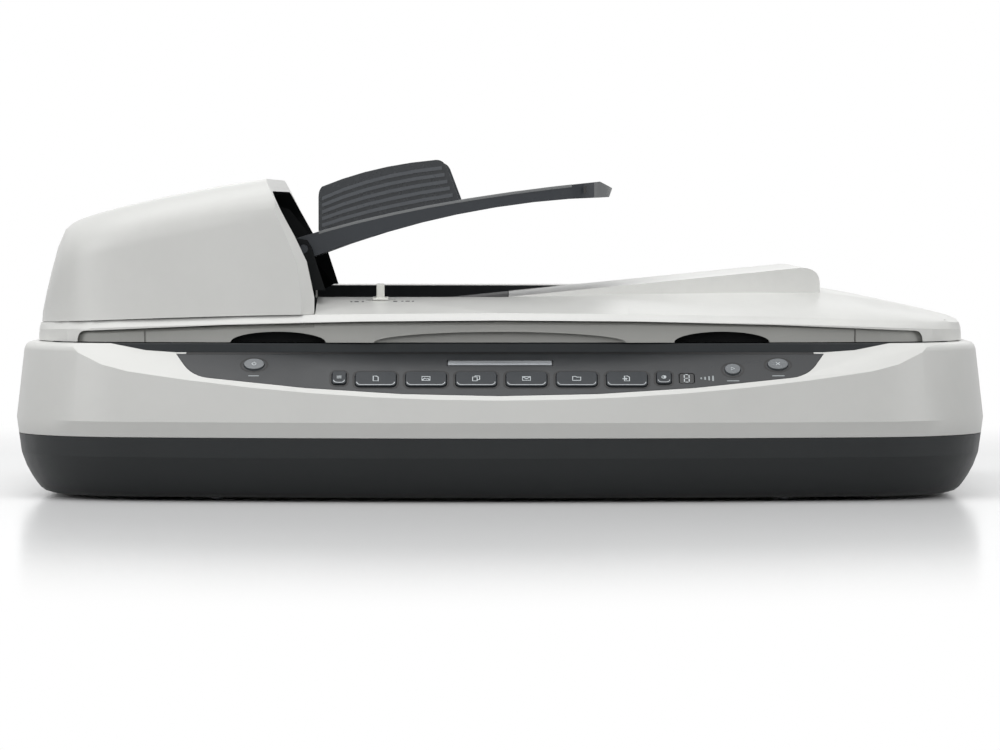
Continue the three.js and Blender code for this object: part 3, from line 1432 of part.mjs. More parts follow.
const trayMid = (trayFront + trayRear) / 2;
const trayHalf = (trayRear - trayFront) / 2;
const trayCurve = new THREE.QuadraticBezierCurve(...trayTop.map(([x, z]) => new THREE.Vector2(x, z)));

// Height of the tray's upper face at a place along the width
function trayTopAt(x) {
  const [[x0], [x1], [x2]] = trayTop;
  const a = x0 - 2 * x1 + x2;
  const b = 2 * (x1 - x0);
  const share = (-b + Math.sqrt(b ** 2 - 4 * a * (x0 - x))) / (2 * a);
  return trayCurve.getPoint(share).y;
}

// Frame on the tray's upper face over the pinion: x down its slope, y to the rear, z square to it
function trayFrame() {
  const at = trayCurve.getPoint(rackShare);
  const slope = trayCurve.getTangent(rackShare);
  return new THREE.Matrix4().makeBasis(
    new THREE.Vector3(slope.x, 0, slope.y),
    new THREE.Vector3(0, 1, 0),
    new THREE.Vector3(-slope.y, 0, slope.x),
  ).setPosition(at.x, trayMid, at.y);
}

along.tray = trayFrame();
const rackPitch = Math.PI * rackModule;
const rackPitchX = rackModule * rackPinionTeeth / 2 + rackPlay;
const rackRootX = rackPitchX + rackModule;
const rackBackX = rackRootX + rackBack;
const rackTop = -traySkin - seat;
const guideOuter = trayHalf - guideOut;
const guideInner = guideOuter - guideThick;

function rectangle(x0, x1, y0, y1) {
  return polygon([[x0, y0], [x1, y0], [x1, y1], [x0, y1]]);
}

function inputTray() {
  const shape = new THREE.Shape();
  shape.moveTo(...trayTop[0]);
  shape.quadraticCurveTo(...trayTop[1], ...trayTop[2]);
  shape.lineTo(...trayTip);
  shape.lineTo(...trayLow[2]);
  shape.quadraticCurveTo(...trayLow[1], ...trayLow[0]);
  const plan = roundedRectangle(trayTip[0] - trayHalf * 2, trayMid, trayHalf * 4, trayHalf * 2, trayCorner);
  const slab = prism(shape, 'y', trayFront, trayRear, { steps: traySteps })
    .intersect(prism(plan, 'z', 0, hoodPeak * 2));
  const channelHalf = rackBackX + rackPlay * 2;
  const channelEnd = guideInner + seat * 2;
  const depth = traySkin + rackHigh + overrun * 2;
  const slots = [-1, 1].map((side) => {
    const xs = [rackRootX - running, rackBackX + running / 2].map((x) => -side * x);
    const ys = [guideInner + seat * 2, guideInner - guideLegDeep - guideTravel - running].map((y) => side * y);
    return prism(rectangle(Math.min(...xs), Math.max(...xs), Math.min(...ys), Math.max(...ys)), 'tray', -depth, overrun);
  });
  const channel = prism(rectangle(-channelHalf, channelHalf, -channelEnd, channelEnd), 'tray', -depth, -traySkin);
  const pinionPin = prism(new THREE.Shape().absarc(0, 0, pulleyShaft, 0, 2 * Math.PI), 'tray',
    rackTop - rackHigh, -traySkin / 2);
  const pivots = rod(pivotRadius, 'y', trayFront - guideOut - cheekThick, trayRear + guideOut + cheekThick, ...trayPivot);
  const pivotHub = rod(pivotRadius * 1.5, 'y', trayFront, trayRear, ...trayPivot);
  return join(cut(slab, channel, ...slots), pinionPin, pivots, pivotHub);
}

function rackShape(side) {
  const points = [[rackBackX, rackPitch], [rackRootX, rackPitch]];
  for (let tooth = 0; tooth < rackTeeth; tooth += 1) {
    const y = rackPitch * (0.5 - tooth);
    const tip = rackPitchX - rackModule * 0.8;
    points.push([rackRootX, y + rackPitch * 0.31], [tip, y + rackPitch * 0.13],
      [tip, y - rackPitch * 0.13], [rackRootX, y - rackPitch * 0.31]);
  }
  points.push([rackRootX, -guideInner + seat], [rackBackX, -guideInner + seat]);
  return polygon(points.map(([x, y]) => [-side * x, -side * y]));
}

function guideOutline() {
  const shape = new THREE.Shape();
  const steps = traySteps / 2;
  shape.moveTo(guideLeft, trayTopAt(guideLeft) + seat);
  for (let i = 1; i <= steps; i += 1) {
    const x = guideLeft + (guideRight - guideLeft) * i / steps;
    shape.lineTo(x, trayTopAt(x) + seat);
  }
  shape.lineTo(guideTopRight[0] + guideCorner / 2, guideTopRight[1] - guideCorner);
  shape.quadraticCurveTo(...guideTopRight, guideTopRight[0] - guideCorner, guideTopRight[1] - seat);
  shape.quadraticCurveTo(...guideTopMid, guideLeft + guideCorner / 2, guideTopLeft + guideCorner / 2);
  shape.quadraticCurveTo(guideLeft, guideTopLeft, guideLeft, guideTopLeft - guideCorner);
  return shape;
}

// One raised rib at a share of the guide's height, arched like the guide
function ribShape(share) {
  const between = (low, high) => low + (high - low) * share;
  const inner = ribHigh;
  const x0 = guideLeft + inner;
  const x1 = between(guideRight, guideTopRight[0]) - inner;
  const z0 = between(trayTopAt(x0), guideTopLeft);
  const z1 = between(trayTopAt(guideRight), guideTopRight[1]);
  const mid = [guideTopMid[0], between(trayTopAt(guideTopMid[0]) + inner, guideTopMid[1])];
  const shape = new THREE.Shape();
  shape.moveTo(x0, z0);
  shape.quadraticCurveTo(...mid, x1, z1);
  shape.lineTo(x1, z1 - ribHigh);
  shape.quadraticCurveTo(mid[0], mid[1] - ribHigh, x0, z0 - ribHigh);
  return shape;
}

function paperGuide(side) {
  const span = (a, b) => (side < 0 ? [-b, -a] : [a, b]);
  const world = (a, b) => span(a, b).map((y) => trayMid + y);
  const ribs = Array.from({ length: ribCount }, (_, i) => (
    prism(ribShape((i + 1) / (ribCount + 1)), 'y', ...world(guideOuter - seat, guideOuter + ribProud))));
  const [legX0, legX1] = side < 0 ? [rackRootX, rackBackX] : [-rackBackX, -rackRootX];
  return join(
    prism(guideOutline(), 'y', ...world(guideInner, guideOuter)),
    ...ribs,
    prism(rectangle(-footWide / 2, footWide / 2, ...span(guideInner - footDeep, guideInner + seat)), 'tray', seat, seat + footThick),
    prism(rectangle(legX0, legX1, ...span(guideInner - guideLegDeep, guideInner)), 'tray', rackTop - rackHigh, seat + footThick / 2),
    prism(rackShape(side), 'tray', rackTop - rackHigh, rackTop),
  );
}

function guidePinion() {
  const radius = rackModule * rackPinionTeeth / 2;
  const profile = [[-0.31, -1], [-0.13, 0.8], [0.13, 0.8], [0.31, -1]];
  const points = Array.from({ length: rackPinionTeeth }, (_, tooth) => profile.map(([turnShare, heightShare]) => {
    const angle = (tooth + turnShare) * 2 * Math.PI / rackPinionTeeth;
    const reach = radius + rackModule * heightShare;
    return [reach * Math.cos(angle), reach * Math.sin(angle)];
  })).flat();
  const bore = prism(new THREE.Shape().absarc(0, 0, pulleyShaft + seat * 1.5, 0, 2 * Math.PI), 'tray',
    rackTop - rackHigh - overrun, overrun);
  return cut(prism(polygon(points), 'tray', rackTop - rackHigh, rackTop), bore);
}

function buildTray() {
  piece('input_tray', inputTray(), slate);
  piece('paper_guide_front', paperGuide(-1), slate);
  piece('paper_guide_rear', paperGuide(1), slate);
  piece('guide_pinion', guidePinion(), white);
}

buildBase();
buildLid();
buildFeeder();
buildTray();

export default scanner;
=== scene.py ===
"""Looks of the flatbed scanner: finishes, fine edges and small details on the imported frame."""

import json
import math

import bmesh
import bpy
from bpy.props import FloatProperty, FloatVectorProperty, PointerProperty
from mathutils import Matrix, Vector
from mathutils.bvhtree import BVHTree


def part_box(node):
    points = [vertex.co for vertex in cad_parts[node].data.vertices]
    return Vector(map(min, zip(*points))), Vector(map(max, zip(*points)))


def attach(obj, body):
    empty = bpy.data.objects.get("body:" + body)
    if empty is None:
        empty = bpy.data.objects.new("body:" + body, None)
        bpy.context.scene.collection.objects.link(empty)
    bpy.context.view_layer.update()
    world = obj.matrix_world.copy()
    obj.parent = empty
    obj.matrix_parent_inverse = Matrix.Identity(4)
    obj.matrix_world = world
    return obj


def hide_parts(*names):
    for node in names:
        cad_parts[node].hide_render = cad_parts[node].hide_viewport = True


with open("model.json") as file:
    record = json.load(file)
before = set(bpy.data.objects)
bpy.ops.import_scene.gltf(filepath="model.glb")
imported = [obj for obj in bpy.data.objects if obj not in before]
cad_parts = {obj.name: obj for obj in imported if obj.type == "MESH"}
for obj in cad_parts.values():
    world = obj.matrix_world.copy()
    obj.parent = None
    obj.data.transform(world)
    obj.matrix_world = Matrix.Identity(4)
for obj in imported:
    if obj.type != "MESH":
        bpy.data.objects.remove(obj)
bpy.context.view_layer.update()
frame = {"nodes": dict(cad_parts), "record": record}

bl_info = {
    "name": "Flatbed scanner dressing",
    "version": (1, 0, 0),
    "blender": (4, 5, 0),
    "location": "View3D > Sidebar > Scanner",
    "description": "Finishes the moulded case, the panel, the lid and the sheet feeder of a flatbed scanner",
    "category": "Object",
}

MM = 0.001
SMOOTH_ANGLE = 32
FACET_FOOT = (-0.1755, 0.0563)
FACET_TILT = 40
KEY_NODES = [f"scan_key_{i}" for i in range(1, 7)]
SMALL_KEYS = ["menu_key", "colour_key"]
BUTTONS = ["power_button", "copy_button", "cancel_button"]


def linear(hex_colour):
    """Turns an sRGB hex colour into linear red, green and blue."""
    parts = [int(hex_colour[i:i + 2], 16) / 255 for i in (1, 3, 5)]
    return tuple(c / 12.92 if c <= 0.04045 else ((c + 0.055) / 1.055) ** 2.4 for c in parts)


def colour(label, hex_colour, about):
    return FloatVectorProperty(
        name=label, description=about, subtype="COLOR", size=3, min=0, max=1, default=linear(hex_colour))


def power(label, watts, about):
    return FloatProperty(name=label, description=about, unit="POWER", min=0, default=watts)


def length(label, millimetres, about):
    return FloatProperty(
        name=label, description=about, unit="LENGTH", subtype="DISTANCE", precision=5,
        min=0, default=millimetres * MM)


# Finishes

def add(material, kind, settings=None, links=None, **attributes):
    """Adds one shader node: its attributes, its socket values, and its links as (node, socket)."""
    node = material.node_tree.nodes.new(kind)
    for key, value in attributes.items():
        setattr(node, key, value)
    for key, value in (settings or {}).items():
        node.inputs[key].default_value = value
    for key, (source, socket) in (links or {}).items():
        material.node_tree.links.new(source.outputs[socket], node.inputs[key])
    return node


def blank(name):
    """An empty material, and the link that gives its patterns their place in metres."""
    material = bpy.data.materials.new(name)
    material.use_nodes = True
    material.node_tree.nodes.clear()
    return material, {"Vector": (add(material, "ShaderNodeTexCoord"), "Object")}


def rgba(value):
    return (*value, 1.0)


def shade(value, factor):
    return tuple(min(1.0, c * factor) for c in value)


def close(material, surface):
    add(material, "ShaderNodeOutputMaterial", links={"Surface": (surface, 0)})
    return material


def ramp(material, source, stops):
    """A colour ramp over the first output of a node, from (place, colour) stops."""
    node = add(material, "ShaderNodeValToRGB", links={"Fac": source})
    elements = node.color_ramp.elements
    while len(elements) < len(stops):
        elements.new(0.5)
    for element, (place, value) in zip(elements, stops):
        element.position = place
        element.color = rgba(value)
    return node


def grey(level):
    return (level, level, level)


def moulded(name, base, grain_mm, grain_depth_mm, roughness, spread=0.06, wear=0.18, specular=0.5):
    """Injection-moulded plastic: a fine eroded grain, cloudy gloss, and edges rubbed paler."""
    material, place = blank(name)
    grain, cloud, rub = [
        add(material, "ShaderNodeTexNoise",
            {"Scale": 1 / (size_mm * MM), "Detail": detail, "Roughness": rough}, place)
        for size_mm, detail, rough in ((grain_mm, 3.0, 0.55), (70, 4.0, 0.6), (9, 5.0, 0.7))]
    tint = ramp(material, (cloud, "Fac"), [
        (0.3, shade(base, 1 - spread)), (0.7, shade(base, 1 + spread * 0.6))])
    geometry = add(material, "ShaderNodeNewGeometry")
    edge = ramp(material, (geometry, "Pointiness"), [(0.5, grey(0.0)), (0.58, grey(1.0))])
    worn = add(material, "ShaderNodeMath", {1: wear}, {0: (edge, 0)}, operation="MULTIPLY")
    patchy = add(material, "ShaderNodeMath", links={0: (worn, 0), 1: (rub, "Fac")}, operation="MULTIPLY")
    body = add(material, "ShaderNodeMix", {"B": rgba(shade(base, 1.6))},
               {"Factor": (patchy, 0), "A": (tint, 0)}, data_type="RGBA")
    gloss = ramp(material, (rub, "Fac"), [(0.25, grey(roughness - 0.05)), (0.75, grey(roughness + 0.06))])
    bump = add(material, "ShaderNodeBump", {"Strength": 0.55, "Distance": grain_depth_mm * MM},
               {"Height": (grain, "Fac")})
    surface = add(material, "ShaderNodeBsdfPrincipled", {"IOR": 1.5, "Specular IOR Level": specular},
                  {"Base Color": (body, "Result"), "Roughness": (gloss, 0), "Normal": (bump, 0)})
    return close(material, surface)


def metal(name, base, roughness, line_mm, along, depth_mm=0.02):
    """Ground or drawn metal: fine lines that run one way, with slightly uneven gloss."""
    material, place = blank(name)
    stretch = [1 / (line_mm * MM)] * 3
    stretch["XYZ".index(along)] = 1 / (60 * MM)
    scaled = add(material, "ShaderNodeMapping", {"Scale": stretch}, place)
    lines = add(material, "ShaderNodeTexNoise", {"Scale": 1.0, "Detail": 4.0, "Roughness": 0.6},
                {"Vector": (scaled, 0)})
    tint = ramp(material, (lines, "Fac"), [(0.3, shade(base, 0.88)), (0.7, shade(base, 1.06))])
    gloss = ramp(material, (lines, "Fac"), [(0.3, grey(roughness - 0.06)), (0.7, grey(roughness + 0.08))])
    bump = add(material, "ShaderNodeBump", {"Strength": 0.3, "Distance": depth_mm * MM},
               {"Height": (lines, "Fac")})
    surface = add(material, "ShaderNodeBsdfPrincipled", {"Metallic": 1.0},
                  {"Base Color": (tint, 0), "Roughness": (gloss, 0), "Normal": (bump, 0)})
    return close(material, surface)


def rubbery(name, base, grain_mm, roughness, sheen=0.0):
    """Rubber: a ground matt skin with dusty patches."""
    material, place = blank(name)
    grain = add(material, "ShaderNodeTexNoise", {"Scale": 1 / (grain_mm * MM), "Detail": 4.0}, place)
    dust = add(material, "ShaderNodeTexNoise", {"Scale": 1 / (12 * MM), "Detail": 4.0}, place)
    tint = ramp(material, (dust, "Fac"), [(0.35, base), (0.75, shade(base, 1.7))])
    bump = add(material, "ShaderNodeBump", {"Strength": 0.5, "Distance": 0.08 * MM},
               {"Height": (grain, "Fac")})
    surface = add(material, "ShaderNodeBsdfPrincipled",
                  {"IOR": 1.5, "Roughness": roughness, "Sheen Weight": sheen, "Specular IOR Level": 0.3},
                  {"Base Color": (tint, 0), "Normal": (bump, 0)})
    return close(material, surface)


def float_glass():
    """Float glass: clear, very slightly green, and open to the light of the lamps."""
    material, place = blank("float_glass_polished")
    dust = add(material, "ShaderNodeTexNoise", {"Scale": 1 / (25 * MM), "Detail": 6.0}, place)
    gloss = ramp(material, (dust, "Fac"), [(0.4, grey(0.02)), (0.8, grey(0.07))])
    tint = ramp(material, (dust, "Fac"), [(0.3, linear("#e9f4ef")), (0.8, linear("#dfeee8"))])
    surface = add(material, "ShaderNodeBsdfPrincipled", {"IOR": 1.52, "Transmission Weight": 1.0},
                  {"Base Color": (tint, 0), "Roughness": (gloss, 0)})
    clear = add(material, "ShaderNodeBsdfTransparent", {"Color": rgba(linear("#e4f1ea"))})
    path = add(material, "ShaderNodeLightPath")
    lit = add(material, "ShaderNodeMixShader", links={
        0: (path, "Is Shadow Ray"), 1: (surface, 0), 2: (clear, 0)})
    return close(material, lit)


def circuit_board():
    """Glass-fibre board under green solder lacquer, with darker lines between copper fields."""
    material, place = blank("glass_fibre_board_lacquered")
    cells = add(material, "ShaderNodeTexBrick", {
        "Color1": rgba(linear("#1c5a35")), "Color2": rgba(linear("#206940")),
        "Mortar": rgba(linear("#12432a")), "Scale": 1 / (9 * MM), "Mortar Size": 0.03}, place)
    weave = add(material, "ShaderNodeTexNoise", {"Scale": 1 / (0.8 * MM)}, place)
    bump = add(material, "ShaderNodeBump", {"Strength": 0.3, "Distance": 0.05 * MM},
               {"Height": (weave, "Fac")})
    surface = add(material, "ShaderNodeBsdfPrincipled", {"IOR": 1.5, "Roughness": 0.35},
                  {"Base Color": (cells, "Color"), "Normal": (bump, 0)})
    return close(material, surface)


def printed(name, base):
    """Screen-printed ink: thin, slightly uneven cover."""
    material, place = blank(name)
    cover = add(material, "ShaderNodeTexNoise", {"Scale": 1 / (0.5 * MM), "Detail": 3.0}, place)
    tint = ramp(material, (cover, "Fac"), [(0.35, shade(base, 0.88)), (0.65, base)])
    surface = add(material, "ShaderNodeBsdfPrincipled", {"IOR": 1.5, "Roughness": 0.5},
                  {"Base Color": (tint, 0)})
    return close(material, surface)


def make_finishes():
    """Every finish of the scanner, by the key that the piece lists use."""
    scene = bpy.context.scene
    case, lid, panel, tray = scene.scanner_case, scene.scanner_lid, scene.scanner_panel, scene.scanner_feeder
    return {
        # Warm grey ABS from a spark-eroded mould: soft, even and never glossy
        "case": moulded("abs_moulded_warm_grey", case.light_colour, 0.7, 0.04, 0.38, spread=0.03),
        # The same plastic, coloured charcoal and dark grey with a matt grain; the pan's mid grey is the light
        # case grey darkened, painted shade under the lid's front edge
        "tub": moulded("abs_moulded_charcoal", case.tub_colour, 0.7, 0.06, 0.42, specular=0.2),
        "pan": moulded("abs_light_grey_painted_shade", lid.pan_shaded_colour, 0.7, 0.05, 0.5),
        "frame": moulded("abs_moulded_dark_grey", linear("#26292b"), 0.8, 0.025, 0.62,
                         spread=0.03, wear=0.08, specular=0.3),
        # Black inner mouldings with a coarser, duller grain; the same black is painted as shade inside the
        # hood and in the finger notches
        "black": moulded("abs_black_and_painted_shade", case.black_colour, 0.9, 0.04, 0.58, wear=0.05, specular=0.12),
        # The panel is sprayed with soft lacquer over ABS
        "panel": moulded("abs_sprayed_graphite", panel.panel_colour, 0.5, 0.02, 0.34,
                         spread=0.03, wear=0.05, specular=0.35),
        # Keys and buttons of polycarbonate, smooth from a polished mould
        "key": moulded("polycarbonate_moulded_key", panel.key_colour, 0.5, 0.015, 0.42,
                       spread=0.02, wear=0.1, specular=0.3),
        "button": moulded("polycarbonate_moulded_button", panel.button_colour, 0.5, 0.015, 0.26, wear=0.1),
        # Metallised plastic with a satin haze
        "bright": metal("abs_vacuum_metallised", linear("#85888b"), 0.34, 0.5, "X", 0.004),
        "window": moulded("acrylic_polished_smoke", linear("#0d0f12"), 3.0, 0.002, 0.12, wear=0.0),
        "glass": float_glass(),
        # White film on foam, and white acetal for what slides or turns
        "pad": moulded("polyester_film_on_foam", linear("#eeeeea"), 1.2, 0.02, 0.45, spread=0.01, wear=0.0),
        "acetal": moulded("acetal_moulded_white", linear("#dcdcd6"), 0.4, 0.01, 0.35,
                          spread=0.02, wear=0.05),
        # The tray and its guides, whose ribs are painted paler as painted highlights, and the tray's grey
        # end, whose grey is also painted as highlights along the tray's top edges
        "tray": moulded("abs_moulded_slate", tray.tray_colour, 0.6, 0.05, 0.4, spread=0.04, specular=0.35),
        "guide": moulded("abs_moulded_slate_dark", tray.guide_colour, 0.5, 0.03, 0.26,
                         spread=0.04, specular=0.4),
        "rib_highlight": moulded("abs_slate_painted_highlight", linear("#3d4146"), 0.5, 0.02, 0.3, spread=0.04),
        "tray_end_and_highlight": moulded("abs_grey_end_and_painted_highlight", linear("#646667"), 0.6, 0.04, 0.4, spread=0.04),
        # Ground steel shafts: fine lines show as streaks of gloss
        "shaft": metal("steel_ground", linear("#a9abae"), 0.28, 0.35, "Y"),
        "rod": metal("steel_drawn_polished", linear("#b4b6b8"), 0.2, 0.35, "X"),
        "zinc": metal("steel_zinc_plated", linear("#9b9da0"), 0.4, 1.5, "Z"),
        # Ground rollers and belts, and softer feet
        "rubber": rubbery("epdm_rubber_ground", linear("#202122"), 0.35, 0.75, 0.15),
        "foot": rubbery("elastomer_moulded", linear("#1b1b1c"), 0.8, 0.65),
        "board": circuit_board(),
        "lamp": moulded("acrylic_moulded_opal", linear("#e8ecee"), 0.6, 0.005, 0.3, spread=0.01, wear=0.0),
        "ink": printed("ink_screen_printed_grey", linear("#9aa0a1")),
        "ink_white": printed("ink_screen_printed_white", linear("#c2c8ca")),
        "ink_dark": printed("ink_screen_printed_dark", linear("#5b5d5e")),
        # A satin metal strip along each key's lower edge: a painted highlight where the key's rounded edge
        # catches the light
        "key_highlight": metal("satin_metal_painted_highlight", linear("#8b8e90"), 0.32, 0.5, "X", 0.004),
        # A flat near-black without gloss for the chassis faces that look up or towards the mouth: painted
        # shade, so the throat reads dark
        "throat_shade": moulded("flat_black_painted_shade", linear("#0c0d0d"), 0.4, 0.1, 0.93,
                         wear=0.0, specular=0.0),
        "foil": metal("aluminium_foil_matt", linear("#a7a9ab"), 0.42, 0.6, "X", 0.004),
        # Sockets, and gaps and slots in shadow
        "socket": moulded("polyamide_black_and_painted_shade", linear("#0b0b0c"), 0.5, 0.02, 0.5, wear=0.0),
        "contact": metal("bronze_gold_plated", linear("#d9b25a"), 0.25, 0.4, "Y", 0.002),
        "screw": metal("steel_blackened", linear("#4a4b4d"), 0.45, 0.3, "X", 0.01),
    }


finishes = {}


# Making pieces

def placed(name, data, place=(0, 0, 0)):
    thing = bpy.data.objects.new(name, data)
    thing.location = place
    bpy.context.scene.collection.objects.link(thing)
    return thing


def piece_on(node, name, mesh, finish):
    """Places a piece, shades it smooth up to an angle, and ties it to a node's body."""
    body, slot = body_of_node(node), slot_of_node(node)
    piece = placed(name, mesh)
    mesh.materials.clear()
    mesh.materials.append(finishes[finish])
    mesh.polygons.foreach_set("use_smooth", [True] * len(mesh.polygons))
    mesh.set_sharp_from_angle(angle=math.radians(SMOOTH_ANGLE))
    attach(piece, body)
    return piece


def finish_mesh(shape, name):
    bmesh.ops.recalc_face_normals(shape, faces=shape.faces)
    mesh = bpy.data.meshes.new(name)
    shape.to_mesh(mesh)
    shape.free()
    return mesh


def drawn_on(node, name, shape, finish):
    """A piece made of a drawn bmesh."""
    piece_on(node, name, finish_mesh(shape, name), finish)


def body_of_node(node):
    for body, members in frame["record"]["behaviour"]["bodies"].items():
        if node in members:
            return body
    raise RuntimeError(f"no body holds {node}")


def slot_of_node(node):
    for entry in frame["record"]["subparts"]:
        if entry["node"] == node:
            return entry["material_slot"]
    raise RuntimeError(f"no slot for {node}")


def fine_edges(piece, width, angle, segments):
    """Rounds the sharp edges of a moulding and keeps its flat faces flat."""
    rounding = piece.modifiers.new("fine edges", "BEVEL")
    rounding.width = width
    rounding.segments = segments
    rounding.limit_method = "ANGLE"
    rounding.angle_limit = math.radians(angle)
    rounding.use_clamp_overlap = True
    rounding.miter_outer = "MITER_ARC"
    normals = piece.modifiers.new("even shading", "WEIGHTED_NORMAL")
    normals.keep_sharp = True
    normals.weight = 60


def welded(node, planar):
    """The node's shape as a clean mesh: joined corners and whole flat faces without dents."""
    shape = bmesh.new()
    shape.from_mesh(frame["nodes"][node].data)
    bmesh.ops.remove_doubles(shape, verts=shape.verts, dist=0.002 * MM)
    bmesh.ops.dissolve_limit(
        shape, angle_limit=math.radians(planar), verts=shape.verts, edges=shape.edges, delimit=set())
    bmesh.ops.connect_verts_concave(shape, faces=[face for face in shape.faces if len(face.verts) > 4])
    return finish_mesh(shape, node)


def refine(node, name, finish, width, angle=38, planar=0.15, segments=2):
    """Stands a fine-edged piece in for a node of the frame, on the same body."""
    piece = piece_on(node, name, welded(node, planar), finish)
    fine_edges(piece, width, angle, segments)
    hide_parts(node)
    return piece


def dress(node, finish):
    """Gives a node that stays its finish."""
    target = frame["nodes"][node]
    for slot in target.material_slots:
        slot.material = finishes[finish]
    if not target.material_slots:
        raise RuntimeError(f"{node} has no material slot")


def paint_faces(piece, finish, chosen):
    """Gives a second finish to the faces for which chosen(middle, normal) holds."""
    mesh = piece.data
    mesh.materials.append(finishes[finish])
    for face in mesh.polygons:
        if chosen(face.center, face.normal):
            face.material_index = len(mesh.materials) - 1


def walls_of(mesh):
    """A mesh ready for straight rays."""
    shape = bmesh.new()
    shape.from_mesh(mesh)
    walls = BVHTree.FromBMesh(shape)
    shape.free()
    return walls


def inner_shade_test(piece, reach):
    """A test for the faces of a shell that look down, or at another wall of the same shell: the faces in its
    inner shade, which get painted shade.
    """
    walls = walls_of(piece.data)

    def in_inner_shade(middle, normal):
        hit = walls.ray_cast(middle + normal * 0.05 * MM, normal, reach)[0]
        return hit is not None or normal.z < -0.15
    return in_inner_shade


def strip_along(node, name, finish, places, y, section, upper=False):
    """A thin strip that follows the node's underside, or its top, along x.

    section lists (y, z) corners round the strip's own line."""
    walls = walls_of(frame["nodes"][node].data)
    start, way = (0.3, -1) if upper else (-0.1, 1)
    shape = bmesh.new()
    rows = []
    for x in places:
        hit = walls.ray_cast(Vector((x, y, start)), Vector((0, 0, way)))[0]
        if hit:
            rows.append([shape.verts.new((x, y + dy, hit.z + dz)) for dy, dz in section])
    count = len(section)
    for a, b in zip(rows, rows[1:]):
        for i in range(count):
            shape.faces.new((a[i], a[(i + 1) % count], b[(i + 1) % count], b[i]))
    shape.faces.new(list(reversed(rows[0])))
    shape.faces.new(rows[-1])
    drawn_on(node, name, shape, finish)


def spread(first, last, steps):
    return [first + (last - first) * i / steps for i in range(steps + 1)]


def rectangle(half_wide, low, high):
    return [(-half_wide, low), (half_wide, low), (half_wide, high), (-half_wide, high)]


def box_mesh(shape, low, high):
    """Adds a block between two corners to a bmesh."""
    for vert in bmesh.ops.create_cube(shape, size=1.0)["verts"]:
        vert.co = Vector(vert.co[i] * (high[i] - low[i]) + (low[i] + high[i]) / 2 for i in range(3))


def tube_mesh(shape, rings, turn, sides):
    """Adds a turned form: rings of (radius, height) round the z axis of a matrix."""
    loops = [
        [shape.verts.new(turn @ Vector((x, y, height))) for x, y in ring_outline(0, 0, radius, sides)]
        for radius, height in rings]
    for lower, upper in zip(loops, loops[1:]):
        for i in range(sides):
            j = (i + 1) % sides
            shape.faces.new((lower[i], lower[j], upper[j], upper[i]))
    shape.faces.new(list(reversed(loops[0])))
    shape.faces.new(loops[-1])


def plate_mesh(shape, outline, turn, thick, bevel=0.0):
    """Adds a flat plate: an outline of (x, y) on a matrix's plane, raised by its thickness."""
    bottom = [shape.verts.new(turn @ Vector((x, y, 0))) for x, y in outline]
    top = [shape.verts.new(turn @ Vector((x, y, thick))) for x, y in outline]
    shape.faces.new(list(reversed(bottom)))
    crown = shape.faces.new(top)
    for i in range(len(outline)):
        j = (i + 1) % len(outline)
        shape.faces.new((bottom[i], bottom[j], top[j], top[i]))
    if bevel:
        bmesh.ops.bevel(
            shape, geom=list(crown.edges), offset=bevel, segments=2, profile=0.5, affect="EDGES")


def rounded_outline(x, y, wide, high, corner, steps=5):
    """The outline of a rectangle round (x, y) with rounded corners."""
    points = []
    for turn, (sx, sy) in enumerate(((1, 1), (-1, 1), (-1, -1), (1, -1))):
        for i in range(steps + 1):
            angle = math.pi / 2 * (turn + i / steps)
            points.append((x + sx * (wide / 2 - corner) + corner * math.cos(angle),
                           y + sy * (high / 2 - corner) + corner * math.sin(angle)))
    return points


def ring_outline(x, y, radius, steps=28, squeeze=1.0):
    """The outline of a circle round (x, y), or of an oval squeezed along y."""
    angles = [2 * math.pi * i / steps for i in range(steps)]
    return [(x + radius * math.cos(a), y + squeeze * radius * math.sin(a)) for a in angles]


def band_mesh(shape, outer, inner, turn, thick):
    """Adds a closed flat ring between two outlines with the same number of points."""
    rows = []
    for outline, z in ((outer, 0), (outer, thick), (inner, thick), (inner, 0)):
        rows.append([shape.verts.new(turn @ Vector((x, y, z))) for x, y in outline])
    count = len(outer)
    for here, there in zip(rows, rows[1:] + rows[:1]):
        for i in range(count):
            j = (i + 1) % count
            shape.faces.new((here[i], here[j], there[j], there[i]))


def facet_matrix():
    """The panel's own plane: x across, y up the slope from its foot, z out of the facet."""
    slope = Matrix.Rotation(math.radians(FACET_TILT), 4, "X")
    return Matrix.Translation((0, *FACET_FOOT)) @ slope


# Sizes and colours a user would change

class CaseSizes(bpy.types.PropertyGroup):
    light_colour: colour("Case", "#cfcfcc", "Colour of the upper case, the lid and the hood")
    tub_colour: colour("Tub", "#2f3132", "Colour of the lower tub")
    black_colour: colour("Inner black", "#101213", "Colour of the black inner mouldings")
    edge: length("Edge", 0.7, "Radius of the moulded edges")


class LidSizes(bpy.types.PropertyGroup):
    # The pan's colour is the light case grey darkened: painted shade under the lid's front edge.
    pan_shaded_colour: colour("Pan", "#a4a4a0", "Colour of the lid's lower moulding")


class PanelSizes(bpy.types.PropertyGroup):
    panel_colour: colour("Panel", "#2d2f31", "Colour of the control panel")
    key_colour: colour("Keys", "#24282c", "Colour of the keys")
    button_colour: colour("Buttons", "#63676a", "Colour of the oval buttons")
    icon_height: length("Icon height", 5.0, "Height of the icons on the keys")
    ink_thick: length("Ink", 0.06, "How far the ink stands out")


class FeederSizes(bpy.types.PropertyGroup):
    tray_colour: colour("Tray", "#272b30", "Colour of the input tray")
    guide_colour: colour("Guides", "#23272b", "Colour of the paper guides")


class DetailSizes(bpy.types.PropertyGroup):
    vent_wide: length("Vent width", 2.2, "Width of each vent slot")
    vent_high: length("Vent height", 15, "Height of each vent slot")
    screw_radius: length("Screw radius", 3.4, "Radius of the screw heads under the base")
    ink_thick: length("Ink", 0.05, "How far the printed marks stand out")


